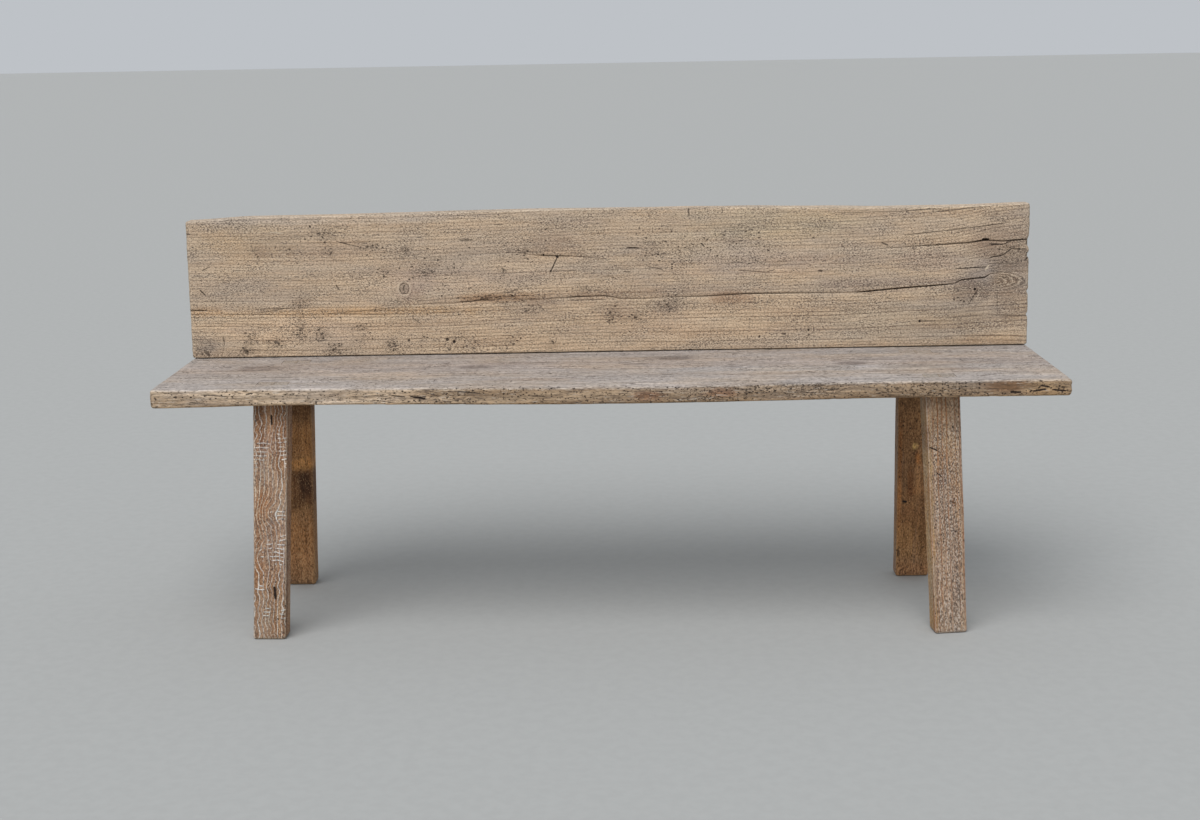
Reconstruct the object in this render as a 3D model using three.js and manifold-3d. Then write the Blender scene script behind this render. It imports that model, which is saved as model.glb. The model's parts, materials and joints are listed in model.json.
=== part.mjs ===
// Monks bench: a plank seat on four splayed, wedged legs, with one plank as its backrest.
// Millimetres, +Z up, +X along the length, the front towards -Y.
// The origin is on the floor, under the middle of the bench's box.
import * as THREE from "three";
import { mergeVertices } from "three/addons/utils/BufferGeometryUtils.js";
import Module from "manifold-3d";

const wasm = await Module();
wasm.setup();

// Whole bench
const benchLength = 1640;
const seatHeight = 465;

// Seat plank: its depth is measured to the backrest's rear face
const seatThickness = 31;
const seatDepthLeft = 353;
const seatDepthRight = 391;
const frontBowDepth = 8; // how far the front edge swells forwards between the legs
const seatBellyHeight = 4; // extra thickness below, halfway along
const frontWearHeight = 3; // how far the worn front edge drops, halfway along
const frontWearWidth = 22;
const seatArrisRadius = 5;
const endArrisRadius = 3;

// Backrest plank
const backrestThickness = 40;
const backrestHeightLeft = 269;
const backrestHeightRight = 274;
const backrestCrownHeight = 9; // how far the top edge swells above a straight line
const backrestLeanDegrees = 2.6;
const backrestArrisRadius = 4;
const seatingGapHeight = 0.3; // under the backrest and over the legs' shoulders

// Legs
const legWidthTop = 65;
const legWidthFoot = 61;
const legDepthTop = 41;
const legDepthFoot = 38;
const legArrisWidth = 3;
const footWearHeight = 3; // the worn lower corners of each foot
const legEndDistance = 215; // from the seat's end to the tenon's middle, on the seat's top
const legOutRunLength = 18; // how far the foot stands outwards of the tenon
const frontTenonDistance = 53; // from the seat's front edge to the tenon's middle
const rearTenonDistance = 89; // from the seat's rear edge to the tenon's middle
const frontFootRunLength = 48; // how far a front foot stands forwards of its tenon
const rearFootRunLength = 56;

// Wedged through tenons
const tenonWidth = 57;
const tenonDepth = 32;
const tenonArrisWidth = 1.5;
const tenonSinkDepth = 0.5; // below the seat's top
const tenonClearanceWidth = 0.3;
const wedgeTopThickness = 5;
const wedgeTipThickness = 1.4;
const wedgeLength = 24;

// Backrest screws
const screwCount = 5;
const screwEndDistance = 110;
const screwLength = 96;
const screwShankDiameter = 6;
const screwHeadDiameter = 12;
const screwHeadHeight = 4;
const screwTipLength = 9;
const screwSinkDepth = 1;
const screwSlotWidth = 1.6;
const screwSlotDepth = 1.5;
const screwClearanceWidth = 0.3;

// Reach of every cutting shape past the face that it cuts, and the width of a seam that closes
const cutOverrunLength = 6;
const weldWidth = 1e-4;

// Each leg's own setting, as shares of the sizes above, and how far its post is turned about its
// own axis, anticlockwise from above
const legs = [
  {
    name: "front_left",
    side: -1,
    row: -1,
    endShare: 0.99,
    outShare: 1.02,
    runShare: 1.05,
    widthShare: 1,
    turnDegrees: -2.5,
  },
  {
    name: "front_right",
    side: 1,
    row: -1,
    endShare: 1.05,
    outShare: 1.09,
    runShare: 0.96,
    widthShare: 1,
    turnDegrees: 7,
  },
  {
    name: "rear_left",
    side: -1,
    row: 1,
    endShare: 1,
    outShare: 1.25,
    runShare: 1.06,
    widthShare: 0.93,
    turnDegrees: 0,
  },
  {
    name: "rear_right",
    side: 1,
    row: 1,
    endShare: 1.058,
    outShare: 0.455,
    runShare: 0.93,
    widthShare: 1.08,
    turnDegrees: 0,
  },
];

// Swell of the backrest's top edge at even steps along it, as shares of its crown
const crownShares = [0, 0.65, 0.6, 0.7, 0.9, 1, 0.88, 0.84, 0.7, 0.36, 0, -0.03, 0.28];

// Swell of the seat's front edge at even steps along it, as shares of its bow
const bowShares = [0, 0.2, 0.45, 0.62, 0.8, 1, 0.95, 0.6, 0.3, 0.08, 0];

const seatStations = 40;
const backrestStations = 36;
const arrisSteps = 3;
const screwSides = 24;

// Reads a table of shares at a place from 0 to 1, smoothly between its entries
function readShares(shares, place) {
  const at = THREE.MathUtils.clamp(place, 0, 1) * (shares.length - 1);
  const low = Math.min(Math.floor(at), shares.length - 2);
  const part = THREE.MathUtils.smoothstep(at - low, 0, 1);
  return THREE.MathUtils.lerp(shares[low], shares[low + 1], part);
}

// A closed body through rings of points, with a flat cap on each end
function loft(rings) {
  const size = rings[0].length;
  const positions = rings.flat().flatMap((point) => [point.x, point.y, point.z]);
  const faces = [];
  for (let ring = 0; ring + 1 < rings.length; ring++) {
    for (let side = 0; side < size; side++) {
      const next = (side + 1) % size;
      const [a, b] = [ring * size + side, ring * size + next];
      faces.push(a, b, b + size, a, b + size, a + size);
    }
  }
  const last = (rings.length - 1) * size;
  for (const [a, b, c] of capTriangles(rings[0])) faces.push(c, b, a);
  for (const [a, b, c] of capTriangles(rings.at(-1))) faces.push(last + a, last + b, last + c);
  const geometry = new THREE.BufferGeometry();
  geometry.setAttribute("position", new THREE.Float32BufferAttribute(positions, 3));
  geometry.setIndex(faces);
  return signedVolume(geometry) < 0 ? turnedOut(geometry) : geometry;
}

// Triangles that fill a flat ring, in the ring's own order
function capTriangles(ring) {
  const normal = new THREE.Vector3();
  ring.forEach((point, index) => {
    normal.add(new THREE.Vector3().crossVectors(point, ring[(index + 1) % ring.length]));
  });
  const turn = new THREE.Quaternion().setFromUnitVectors(
    normal.normalize(),
    new THREE.Vector3(0, 0, 1),
  );
  const flat = ring.map((point) => point.clone().applyQuaternion(turn));
  const outline = flat.map((point) => new THREE.Vector2(point.x, point.y));
  return THREE.ShapeUtils.triangulateShape(outline, []);
}

function signedVolume(geometry) {
  const position = geometry.getAttribute("position");
  const index = geometry.getIndex();
  const corner = (at) => new THREE.Vector3().fromBufferAttribute(position, index.getX(at));
  let sum = 0;
  for (let at = 0; at < index.count; at += 3) {
    sum += corner(at).dot(corner(at + 1).cross(corner(at + 2)));
  }
  return sum;
}

function turnedOut(geometry) {
  const index = Array.from(geometry.getIndex().array);
  for (let at = 0; at < index.length; at += 3) {
    [index[at], index[at + 1]] = [index[at + 1], index[at]];
  }
  geometry.setIndex(index);
  return geometry;
}

// A rectangle with rounded corners, as points [across, up] that run round it once
function roundedSection(acrossLow, acrossHigh, upLow, upHigh, radius, steps) {
  const corners = [
    [acrossHigh - radius, upHigh - radius, 0],
    [acrossLow + radius, upHigh - radius, Math.PI / 2],
    [acrossLow + radius, upLow + radius, Math.PI],
    [acrossHigh - radius, upLow + radius, -Math.PI / 2],
  ];
  return corners.flatMap(([across, up, start]) =>
    Array.from({ length: steps + 1 }, (_, step) => {
      const angle = start + (step / steps) * (Math.PI / 2);
      return [across + radius * Math.cos(angle), up + radius * Math.sin(angle)];
    }),
  );
}

// Booleans
function solidOf(geometry) {
  const bare = geometry.clone();
  bare.deleteAttribute("normal");
  bare.deleteAttribute("uv");
  const merged = mergeVertices(bare, weldWidth);
  return new wasm.Manifold(
    new wasm.Mesh({
      numProp: 3,
      vertProperties: merged.getAttribute("position").array,
      triVerts: new Uint32Array(merged.getIndex().array),
    }),
  );
}

function geometryOf(solid) {
  const { vertProperties, triVerts } = solid.getMesh();
  const geometry = new THREE.BufferGeometry();
  geometry.setAttribute("position", new THREE.BufferAttribute(vertProperties, 3));
  geometry.setIndex(new THREE.BufferAttribute(triVerts, 1));
  return geometry;
}

function cut(geometry, tools) {
  let solid = solidOf(geometry);
  for (const tool of tools) solid = solid.subtract(solidOf(tool));
  return geometryOf(solid);
}

function join(first, second) {
  return geometryOf(solidOf(first).add(solidOf(second)));
}

// Where the seat's edges and the backrest's faces lie, in plan
const seatUnderside = seatHeight - seatThickness;
const meanDepth = (seatDepthLeft + seatDepthRight) / 2;

function along(x) {
  return x / benchLength + 1 / 2;
}

function seatDepthAt(x) {
  return THREE.MathUtils.lerp(seatDepthLeft, seatDepthRight, along(x));
}

function frontEdgeAt(x) {
  return (meanDepth - seatDepthAt(x)) / 2;
}

function rearEdgeAt(x) {
  return frontEdgeAt(x) + seatDepthAt(x);
}

// How far a place is between the front legs, from 0 at and outside them to 1 halfway
function betweenLegs(x) {
  const half = benchLength / 2 - legEndDistance;
  return 1 - THREE.MathUtils.smoothstep(Math.abs(x), 0, half - legWidthTop);
}

// Places along a plank, with two close ones at each end for its worn corners
function stationPlaces(length, count, arris) {
  const inner = Array.from({ length: count + 1 }, (_, step) => {
    return THREE.MathUtils.lerp(-length / 2 + arris, length / 2 - arris, step / count);
  });
  return [-length / 2, ...inner, length / 2];
}

// How much a plank's section is drawn in at a place, so that its end corners are worn
function drawnIn(x, length, arris) {
  return Math.abs(x) > length / 2 - arris / 2 ? arris * (1 - Math.SQRT1_2) : 0;
}

// Seat plank: a section carried along X, with the front edge bowed and worn
function seatRing(x) {
  const inset = drawnIn(x, benchLength, endArrisRadius);
  const bow = frontBowDepth * readShares(bowShares, along(x));
  const front = frontEdgeAt(x) - bow + inset;
  const rear = rearEdgeAt(x) - inset;
  const bottom = seatUnderside - seatBellyHeight * betweenLegs(x) + inset;
  const top = seatHeight - inset;
  const section = roundedSection(front, rear, bottom, top, seatArrisRadius, arrisSteps);
  const mid = rearEdgeAt(x) - backrestThickness - seatArrisRadius;
  const wearStart = frontEdgeAt(x) + frontWearWidth;
  section.splice(arrisSteps + 1, 0, [mid, top], [wearStart, top]);
  return section.map(([y, z]) => {
    const worn = THREE.MathUtils.smoothstep(wearStart - y, 0, wearStart - front);
    const high = z > seatHeight - seatThickness / 2;
    const drop = high ? frontWearHeight * betweenLegs(x) * worn : 0;
    return new THREE.Vector3(x, y, z - drop);
  });
}

function seatBlank() {
  return loft(stationPlaces(benchLength, seatStations, endArrisRadius).map(seatRing));
}

// Backrest plank: a leaning section carried along X, with a crowned top edge
const lean = THREE.MathUtils.degToRad(backrestLeanDegrees);

function backrestHeightAt(x) {
  const straight = THREE.MathUtils.lerp(backrestHeightLeft, backrestHeightRight, along(x));
  return straight + backrestCrownHeight * readShares(crownShares, along(x));
}

function backrestRing(x) {
  const inset = drawnIn(x, benchLength, backrestArrisRadius);
  const low = inset;
  const high = backrestHeightAt(x) - inset;
  const section = roundedSection(
    inset,
    backrestThickness - inset,
    low,
    high,
    backrestArrisRadius,
    arrisSteps,
  );
  const front = rearEdgeAt(x) - backrestThickness;
  const bottom = seatHeight + seatingGapHeight;
  return section.map(([across, up]) => {
    const y = front + across + up * Math.tan(lean);
    return new THREE.Vector3(x, y, bottom + up * Math.cos(lean));
  });
}

function backrestBlank() {
  return loft(stationPlaces(benchLength, backrestStations, backrestArrisRadius).map(backrestRing));
}

// Legs: level sections along a leaning axis, so that feet and shoulders lie level
function legAxis(leg) {
  const x = leg.side * (benchLength / 2 - legEndDistance * leg.endShare);
  const front = frontEdgeAt(x) + frontTenonDistance;
  const rear = rearEdgeAt(x) - rearTenonDistance;
  const y = leg.row < 0 ? front : rear;
  const run = (leg.row < 0 ? frontFootRunLength : rearFootRunLength) * leg.runShare;
  const foot = new THREE.Vector3(x + leg.side * legOutRunLength * leg.outShare, y + leg.row * run, 0);
  const top = new THREE.Vector3(x, y, seatHeight);
  return (z) => foot.clone().lerp(top, z / seatHeight);
}

const vertical = new THREE.Vector3(0, 0, 1);

function levelRing(axis, z, width, depth, arris, turn = 0) {
  const centre = axis(z).setZ(z);
  return roundedSection(-width / 2, width / 2, -depth / 2, depth / 2, arris, 1).map(
    ([across, deep]) => new THREE.Vector3(across, deep, 0).applyAxisAngle(vertical, turn).add(centre),
  );
}

function legBody(leg) {
  const axis = legAxis(leg);
  const shoulder = seatUnderside - seatingGapHeight;
  const tenonTop = seatHeight - tenonSinkDepth;
  const turn = THREE.MathUtils.degToRad(leg.turnDegrees);
  const ring = (z, wear) => {
    const share = z / shoulder;
    const width = THREE.MathUtils.lerp(legWidthFoot, legWidthTop, share) * leg.widthShare;
    const depth = THREE.MathUtils.lerp(legDepthFoot, legDepthTop, share);
    return levelRing(axis, z, width - wear, depth - wear, legArrisWidth, turn);
  };
  const post = loft([ring(0, footWearHeight), ring(footWearHeight, 0), ring(shoulder, 0)]);
  const tenon = loft([
    levelRing(axis, shoulder - seatThickness, tenonWidth * leg.widthShare, tenonDepth, tenonArrisWidth),
    levelRing(axis, tenonTop, tenonWidth * leg.widthShare, tenonDepth, tenonArrisWidth),
  ]);
  return join(post, tenon);
}

function mortiseTool(leg) {
  const axis = legAxis(leg);
  const width = tenonWidth * leg.widthShare + 2 * tenonClearanceWidth;
  const depth = tenonDepth + 2 * tenonClearanceWidth;
  return loft([
    levelRing(axis, seatUnderside - cutOverrunLength, width, depth, tenonArrisWidth),
    levelRing(axis, seatHeight + cutOverrunLength, width, depth, tenonArrisWidth),
  ]);
}

// Wedges: tapered slips across the tenon, and the kerfs that they spread
function wedgeSection(z, thickness, halfLength, axis) {
  const centre = axis(z);
  return [
    [-thickness / 2, -halfLength],
    [thickness / 2, -halfLength],
    [thickness / 2, halfLength],
    [-thickness / 2, halfLength],
  ].map(([across, up]) => new THREE.Vector3(centre.x + across, centre.y + up, z));
}

function wedgeBody(leg) {
  const axis = legAxis(leg);
  const top = seatHeight - tenonSinkDepth;
  const half = tenonDepth / 2 - tenonArrisWidth;
  return loft([
    wedgeSection(top - wedgeLength, wedgeTipThickness, half, axis),
    wedgeSection(top, wedgeTopThickness, half, axis),
  ]);
}

function kerfTool(leg) {
  const axis = legAxis(leg);
  const top = seatHeight - tenonSinkDepth;
  const slope = (wedgeTopThickness - wedgeTipThickness) / wedgeLength;
  const tip = wedgeTipThickness + 2 * tenonClearanceWidth;
  const wide = wedgeTopThickness + 2 * tenonClearanceWidth + slope * cutOverrunLength;
  const half = tenonDepth / 2 + cutOverrunLength;
  return loft([
    wedgeSection(top - wedgeLength - tenonClearanceWidth, tip, half, axis),
    wedgeSection(top + cutOverrunLength, wide, half, axis),
  ]);
}

// Screws: turned about their own axes, points up, heads sunk in the seat's underside
function turned(profile) {
  const points = profile.map(([radius, height]) => new THREE.Vector2(radius, height));
  return new THREE.LatheGeometry(points, screwSides).rotateX(Math.PI / 2);
}

function screwProfile(grown) {
  const shank = screwShankDiameter / 2 + grown;
  const head = screwHeadDiameter / 2 + grown;
  const end = screwLength + grown;
  return [
    [0, 0],
    [head, 0],
    [shank, screwHeadHeight + grown],
    [shank, end - screwTipLength],
    [0, end],
  ];
}

function screwPlace(index) {
  const reach = benchLength / 2 - screwEndDistance;
  const x = screwCount > 1 ? THREE.MathUtils.lerp(-reach, reach, index / (screwCount - 1)) : 0;
  const y = rearEdgeAt(x) - backrestThickness / 2;
  const z = seatUnderside - seatBellyHeight * betweenLegs(x) + screwSinkDepth;
  return new THREE.Vector3(x, y, z);
}

function screwBody(index) {
  const slot = new THREE.BoxGeometry(
    screwHeadDiameter + 2 * cutOverrunLength,
    screwSlotWidth,
    2 * screwSlotDepth,
  );
  const place = screwPlace(index);
  return cut(turned(screwProfile(0)), [slot]).translate(place.x, place.y, place.z);
}

function screwTool(index) {
  const profile = screwProfile(screwClearanceWidth);
  const headRadius = screwHeadDiameter / 2 + screwClearanceWidth;
  const mouth = [
    [0, -cutOverrunLength],
    [headRadius, -cutOverrunLength],
  ];
  const place = screwPlace(index);
  return turned([...mouth, ...profile.slice(1)]).translate(place.x, place.y, place.z);
}

// Finishes
const finishes = {
  seatWood: { color: 0x9c8b78, roughness: 0.86, metalness: 0 },
  backrestWood: { color: 0xa88a66, roughness: 0.84, metalness: 0 },
  legWood: { color: 0x8f7156, roughness: 0.88, metalness: 0 },
  wedgeWood: { color: 0x7f6a54, roughness: 0.88, metalness: 0 },
  screwSteel: { color: 0x5a544e, roughness: 0.55, metalness: 0.9 },
};

// Assembly
const bench = new THREE.Group();

function addPiece(name, geometry, finish) {
  const mesh = new THREE.Mesh(geometry, new THREE.MeshStandardMaterial(finishes[finish]));
  mesh.name = name;
  bench.add(mesh);
}

const screws = Array.from({ length: screwCount }, (_, index) => index);

addPiece(
  "seat_plank",
  cut(seatBlank(), [...legs.map(mortiseTool), ...screws.map(screwTool)]),
  "seatWood",
);
addPiece("backrest_plank", cut(backrestBlank(), screws.map(screwTool)), "backrestWood");

for (const leg of legs) {
  addPiece(`leg_${leg.name}`, cut(legBody(leg), [kerfTool(leg)]), "legWood");
  addPiece(`tenon_wedge_${leg.name}`, wedgeBody(leg), "wedgeWood");
}

for (const index of screws) {
  addPiece(`backrest_screw_${index + 1}`, screwBody(index), "screwSteel");
}

// The origin goes to the floor, under the middle of the bench's box
const box = new THREE.Box3().setFromObject(bench);
const middle = box.getCenter(new THREE.Vector3());
for (const piece of bench.children) piece.geometry.translate(-middle.x, -middle.y, -box.min.z);

export default bench;
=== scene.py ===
# Old monks bench: a thick plank seat and a leaning plank back on four splayed legs, all in bare
# weathered timber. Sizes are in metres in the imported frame: X along the bench, -Y its front, Z up.
import json
import math

import bpy
import numpy as np
from mathutils import Matrix, Vector

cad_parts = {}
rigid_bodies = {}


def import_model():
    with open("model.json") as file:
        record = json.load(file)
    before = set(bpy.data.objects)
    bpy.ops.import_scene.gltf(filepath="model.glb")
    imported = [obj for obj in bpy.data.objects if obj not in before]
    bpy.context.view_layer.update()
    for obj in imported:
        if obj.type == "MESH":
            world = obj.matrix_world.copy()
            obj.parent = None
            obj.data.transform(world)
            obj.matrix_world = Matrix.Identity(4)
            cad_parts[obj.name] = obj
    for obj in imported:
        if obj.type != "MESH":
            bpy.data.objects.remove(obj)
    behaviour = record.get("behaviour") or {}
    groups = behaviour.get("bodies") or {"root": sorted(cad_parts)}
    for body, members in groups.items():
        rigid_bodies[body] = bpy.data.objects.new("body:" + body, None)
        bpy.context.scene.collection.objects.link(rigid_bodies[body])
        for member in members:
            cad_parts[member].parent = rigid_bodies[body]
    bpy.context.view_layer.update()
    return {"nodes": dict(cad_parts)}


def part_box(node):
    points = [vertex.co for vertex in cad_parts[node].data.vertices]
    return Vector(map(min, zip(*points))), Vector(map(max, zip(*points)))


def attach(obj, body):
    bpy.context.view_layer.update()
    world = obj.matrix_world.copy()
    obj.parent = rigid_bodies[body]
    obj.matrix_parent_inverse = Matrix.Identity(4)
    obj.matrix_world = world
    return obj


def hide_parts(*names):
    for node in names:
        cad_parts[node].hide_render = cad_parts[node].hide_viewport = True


for startObject in list(bpy.data.objects):
    bpy.data.objects.remove(startObject)

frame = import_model()
print("frame loaded:", len(frame["nodes"]), "nodes")


# Numbers spread over a surface

# Table of seeded random numbers that the lattice noise looks up
noiseTable = np.random.default_rng(4107).random(65536)


def latticeNoise(x, y, z, seed=0):
    # Value noise from -1 to 1: random numbers at whole-number points of space, blended along
    # each axis by 3t^2 - 2t^3
    spots = np.stack(np.broadcast_arrays(x, y, z)).astype(float)
    base = np.floor(spots).astype(np.int64)
    part = spots - base
    blend = part * part * (3 - 2 * part)
    total = np.zeros(spots.shape[1:])
    for corner in np.ndindex(2, 2, 2):
        at = [base[axis] + corner[axis] for axis in range(3)]
        index = at[0] * 73856093 ^ at[1] * 19349663 ^ at[2] * 83492791 ^ seed * 2654435
        weight = 1.0
        for axis in range(3):
            weight = weight * (blend[axis] if corner[axis] else 1 - blend[axis])
        total += weight * noiseTable[(index ^ index >> 15) & 65535]
    return total * 2 - 1


def layeredNoise(x, y, z, seed=0, layers=3):
    # Sum of lattice noises, each twice as fine and half as strong as the one before
    total = 0
    for layer in range(layers):
        grow = 2**layer
        total = total + latticeNoise(x * grow, y * grow, z * grow, seed + layer) / grow
    return total / (2 - 2 ** (1 - layers))


def smoothStep(value, low, high):
    # 0 below low, 1 above high and 3t^2 - 2t^3 between
    t = np.clip((value - low) / (high - low), 0, 1)
    return t * t * (3 - 2 * t)


def bump(value, middle, reach):
    # A bell: 1 at the middle, falling as exp(-(distance / reach)^2)
    return np.exp(-(((value - middle) / reach) ** 2))


def plateau(value, low, full, fade, high):
    # 0 outside low and high and 1 from full to fade
    return smoothStep(value, low, full) * (1 - smoothStep(value, fade, high))


def softSpots(rows, along, up):
    # Sum of strengths, each times a bell of the distance along and one of the distance up from
    # its place. A row has a place along and up, a reach each way and a strength
    total = np.zeros_like(along)
    for x, height, reachX, reachUp, strength in rows:
        total = total + strength * bump(along, x, reachX) * bump(up, height, reachUp)
    return total


def readShares(shares, along):
    # The table's values at even steps from 0 to 1, joined by smooth steps
    scaled = np.clip(along, 0, 1) * (len(shares) - 1)
    step = np.minimum(scaled.astype(int), len(shares) - 2)
    table = np.array(shares, float)
    return table[step] + (table[step + 1] - table[step]) * smoothStep(scaled - step, 0, 1)


# Planks and legs are a section swept along its length


def layLines(lanes, counts):
    # Even steps between neighbouring lanes, each lane being given at every station
    parts = [
        a[:, None] + (b - a)[:, None] * np.arange(n) / n
        for a, b, n in zip(lanes[:-1], lanes[1:], counts)
    ]
    return np.concatenate(parts + [lanes[-1][:, None]], axis=1)


def sweepStations(low, high, count, arris, extra=()):
    # Places along the length: even steps, the extra ones, and a quarter turn of radius arris at
    # each end. Returns the places, how far the section is drawn in, and how far it faces the end
    even = np.linspace(low + arris, high - arris, count)
    extra = np.array(extra, float)
    if len(extra):
        clear = np.abs(even[:, None] - extra[None]).min(1) > 0.0009
        clear[0] = clear[-1] = True
        even = np.sort(np.concatenate([even[clear], extra]))
    turn = np.radians([30, 60, 90])
    reach = arris * np.sin(turn)
    t = np.concatenate([(low + arris - reach)[::-1], even, high - arris + reach])
    pad = np.zeros(len(even))
    inset = arris * np.concatenate([(1 - np.cos(turn))[::-1], pad, 1 - np.cos(turn)])
    facing = np.concatenate([-np.sin(turn)[::-1], pad, np.sin(turn)])
    return t, inset, facing


def sweep(t, inset, facing, bounds, radii, lines, arcSteps=4, capSteps=(0.22, 0.45, 0.7, 0.92)):
    # A rounded rectangle carried along t. A runs from front to back and B from floor to top. The
    # loop goes up the front, over the top, down the rear and back along the floor. Each end is
    # closed by loops drawn towards a thin core. Returns T, A, B and the outward normal of each
    # point, as arrays of loops by points, and the bounds for every loop
    ones = np.ones_like(t)
    low, high, floor, top = [b * ones + s * inset for b, s in zip(bounds, (1, -1, 1, -1))]
    frontTop, rearTop, rearFloor, frontFloor = [r * ones for r in radii]
    corners = [
        (low + frontFloor, floor + frontFloor, frontFloor),
        (low + frontTop, top - frontTop, frontTop),
        (high - rearTop, top - rearTop, rearTop),
        (high - rearFloor, floor + rearFloor, rearFloor),
    ]
    sides = zip(("front", "top", "rear", "floor"), (low, top, high, floor))
    acrossParts, upParts, normalParts = [], [], []
    for number, (name, flat) in enumerate(sides):
        upright = number % 2 == 0
        start, end = [corners[(number + step) % 4][int(upright)] for step in (0, 1)]
        lanes, counts = lines[name]
        run = layLines([start, *[lane * ones for lane in lanes], end], counts)
        still = flat[:, None] + 0 * run
        acrossParts.append(still if upright else run)
        upParts.append(run if upright else still)
        sideAngle = math.pi - number * math.pi / 2
        arc = sideAngle - np.linspace(0, math.pi / 2, arcSteps + 1)[1:-1]
        middleA, middleB, radius = [part[:, None] for part in corners[(number + 1) % 4]]
        acrossParts.append(middleA + radius * np.cos(arc))
        upParts.append(middleB + radius * np.sin(arc))
        normalParts.append(np.full(run.shape[1], sideAngle))
        normalParts.append(arc)
    across, up = np.concatenate(acrossParts, 1), np.concatenate(upParts, 1)
    angle = np.concatenate(normalParts)[None] + 0 * across
    along = t[:, None] + 0 * across
    face = facing[:, None] + 0 * across
    side = np.sqrt(1 - face**2)
    limits = [low[:, None], high[:, None], floor[:, None], top[:, None]]
    loops = [along, across, up, face, np.cos(angle) * side, np.sin(angle) * side]

    for last in (False, True):
        row = -1 if last else 0
        box = [limit[row, 0] for limit in limits]
        half = min(box[1] - box[0], box[3] - box[2]) / 2
        coreA = np.clip(loops[1][row], box[0] + half, box[1] - half)
        coreB = np.clip(loops[2][row], box[2] + half, box[3] - half)
        steps = np.array(capSteps if last else capSteps[::-1])[:, None]
        capA = loops[1][row] + (coreA - loops[1][row]) * steps
        capB = loops[2][row] + (coreB - loops[2][row]) * steps
        flat = 0 * capA
        cap = [flat + loops[0][row], capA, capB, flat + (1 if last else -1), flat, flat]
        order = (lambda a, b: [a, b]) if last else (lambda a, b: [b, a])
        loops = [np.concatenate(order(a, b)) for a, b in zip(loops, cap)]
        grown = [np.full((len(steps), 1), b) for b in box]
        limits = [np.concatenate(order(a, b)) for a, b in zip(limits, grown)]
    return loops, limits


def overLoops(values, along):
    # A value for each station, repeated over the loops that close the ends
    capRows = (len(along) - len(values)) // 2
    return np.pad(values, capRows, mode="edge")[:, None]


def edgeCloseness(loops, limits, ends, reach):
    # 1 on an edge of the block and falling as exp(-distance / reach) away from it. An edge is
    # where two of the three distances to the block's faces are small
    t, a, b = loops[:3]
    gaps = [
        np.minimum(t - ends[0], ends[1] - t),
        np.minimum(a - limits[0], limits[1] - a),
        np.minimum(b - limits[2], limits[3] - b),
    ]
    return np.exp(-np.sort(np.abs(np.stack(gaps)), axis=0)[1] / reach)


def addObject(name, data):
    # A new object in the scene, made of a mesh, lamp or camera
    made = bpy.data.objects.new(name, data)
    bpy.context.scene.collection.objects.link(made)
    return made


def sweptMesh(name, spots, fields, keepIn, creaseDegrees=50):
    # Quads between neighbouring loops and one face on each core. The fields become attributes:
    # a number for each point, or three of them
    loopCount, around = spots.shape[:2]
    flat = np.clip(spots.reshape(-1, 3), *keepIn)
    row = np.arange(loopCount - 1)[:, None] * around
    here, after = np.arange(around)[None], (np.arange(around)[None] + 1) % around
    quads = np.stack([row + here, row + after, row + around + after, row + around + here], -1)
    quads = quads.reshape(-1, 4)
    corners = flat[quads]
    halves = [np.cross(corners[:, i], corners[:, j]) for i, j in ((1, 2), (2, 3))]
    volume = sum((corners[:, 0] * half).sum() for half in halves)
    first = np.arange(around)
    last = first + (loopCount - 1) * around
    ends = [first[::-1], last]
    if volume < 0:
        quads, ends = quads[:, ::-1], [end[::-1] for end in ends]
    mesh = bpy.data.meshes.new(name)
    mesh.from_pydata(flat.tolist(), [], quads.tolist() + [end.tolist() for end in ends])
    for title, values in fields.items():
        vector = values.ndim == 3
        layer = mesh.attributes.new(title, "FLOAT_VECTOR" if vector else "FLOAT", "POINT")
        layer.data.foreach_set("vector" if vector else "value", values.astype(np.float32).ravel())
    mesh.polygons.foreach_set("use_smooth", np.ones(len(mesh.polygons), bool))
    mesh.set_sharp_from_angle(angle=math.radians(creaseDegrees))
    mesh.update()
    print(name, "made:", len(quads) * 2, "triangles")
    return addObject(name, mesh)


def markFields(marks, along, up, allowed, reach=0.0075, layers=3):
    # Each mark, from one place to another in millimetres with a width and a tone, gives the
    # points near it their place along and across it. Marks that lie too close to each other for
    # that go on separate layers
    shape = along.shape
    spots = np.zeros((layers, *shape, 3))
    sizes = np.zeros((layers, *shape, 3))
    on = np.zeros((layers, *shape))
    for x1, up1, x2, up2, width, tone in marks:
        start, end = np.array((x1, up1)) / 1000, np.array((x2, up2)) / 1000
        half = np.hypot(*(end - start)) / 2
        ahead = (end - start) / (2 * half) if half > 0 else np.array((1.0, 0.0))
        middle = (start + end) / 2
        s = (along - middle[0]) * ahead[0] + (up - middle[1]) * ahead[1]
        v = (up - middle[1]) * ahead[0] - (along - middle[0]) * ahead[1]
        wide = width / 1000
        near = (np.abs(s) < half + wide + reach) & (np.abs(v) < wide + reach) & allowed
        free = [n for n in range(layers) if not on[n][near].any()]
        if not free:
            print("no room for the mark at", x1, up1)
            continue
        layer = free[0]
        spots[layer][near] = np.stack([s[near], v[near], 0 * s[near]], -1)
        sizes[layer][near] = (half, wide, tone)
        on[layer][near] = 1
    fields = {}
    for layer in range(layers):
        fields[f"markSpot{layer}"] = spots[layer]
        fields[f"markSize{layer}"] = sizes[layer]
        fields[f"markOn{layer}"] = on[layer]
    return fields


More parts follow.
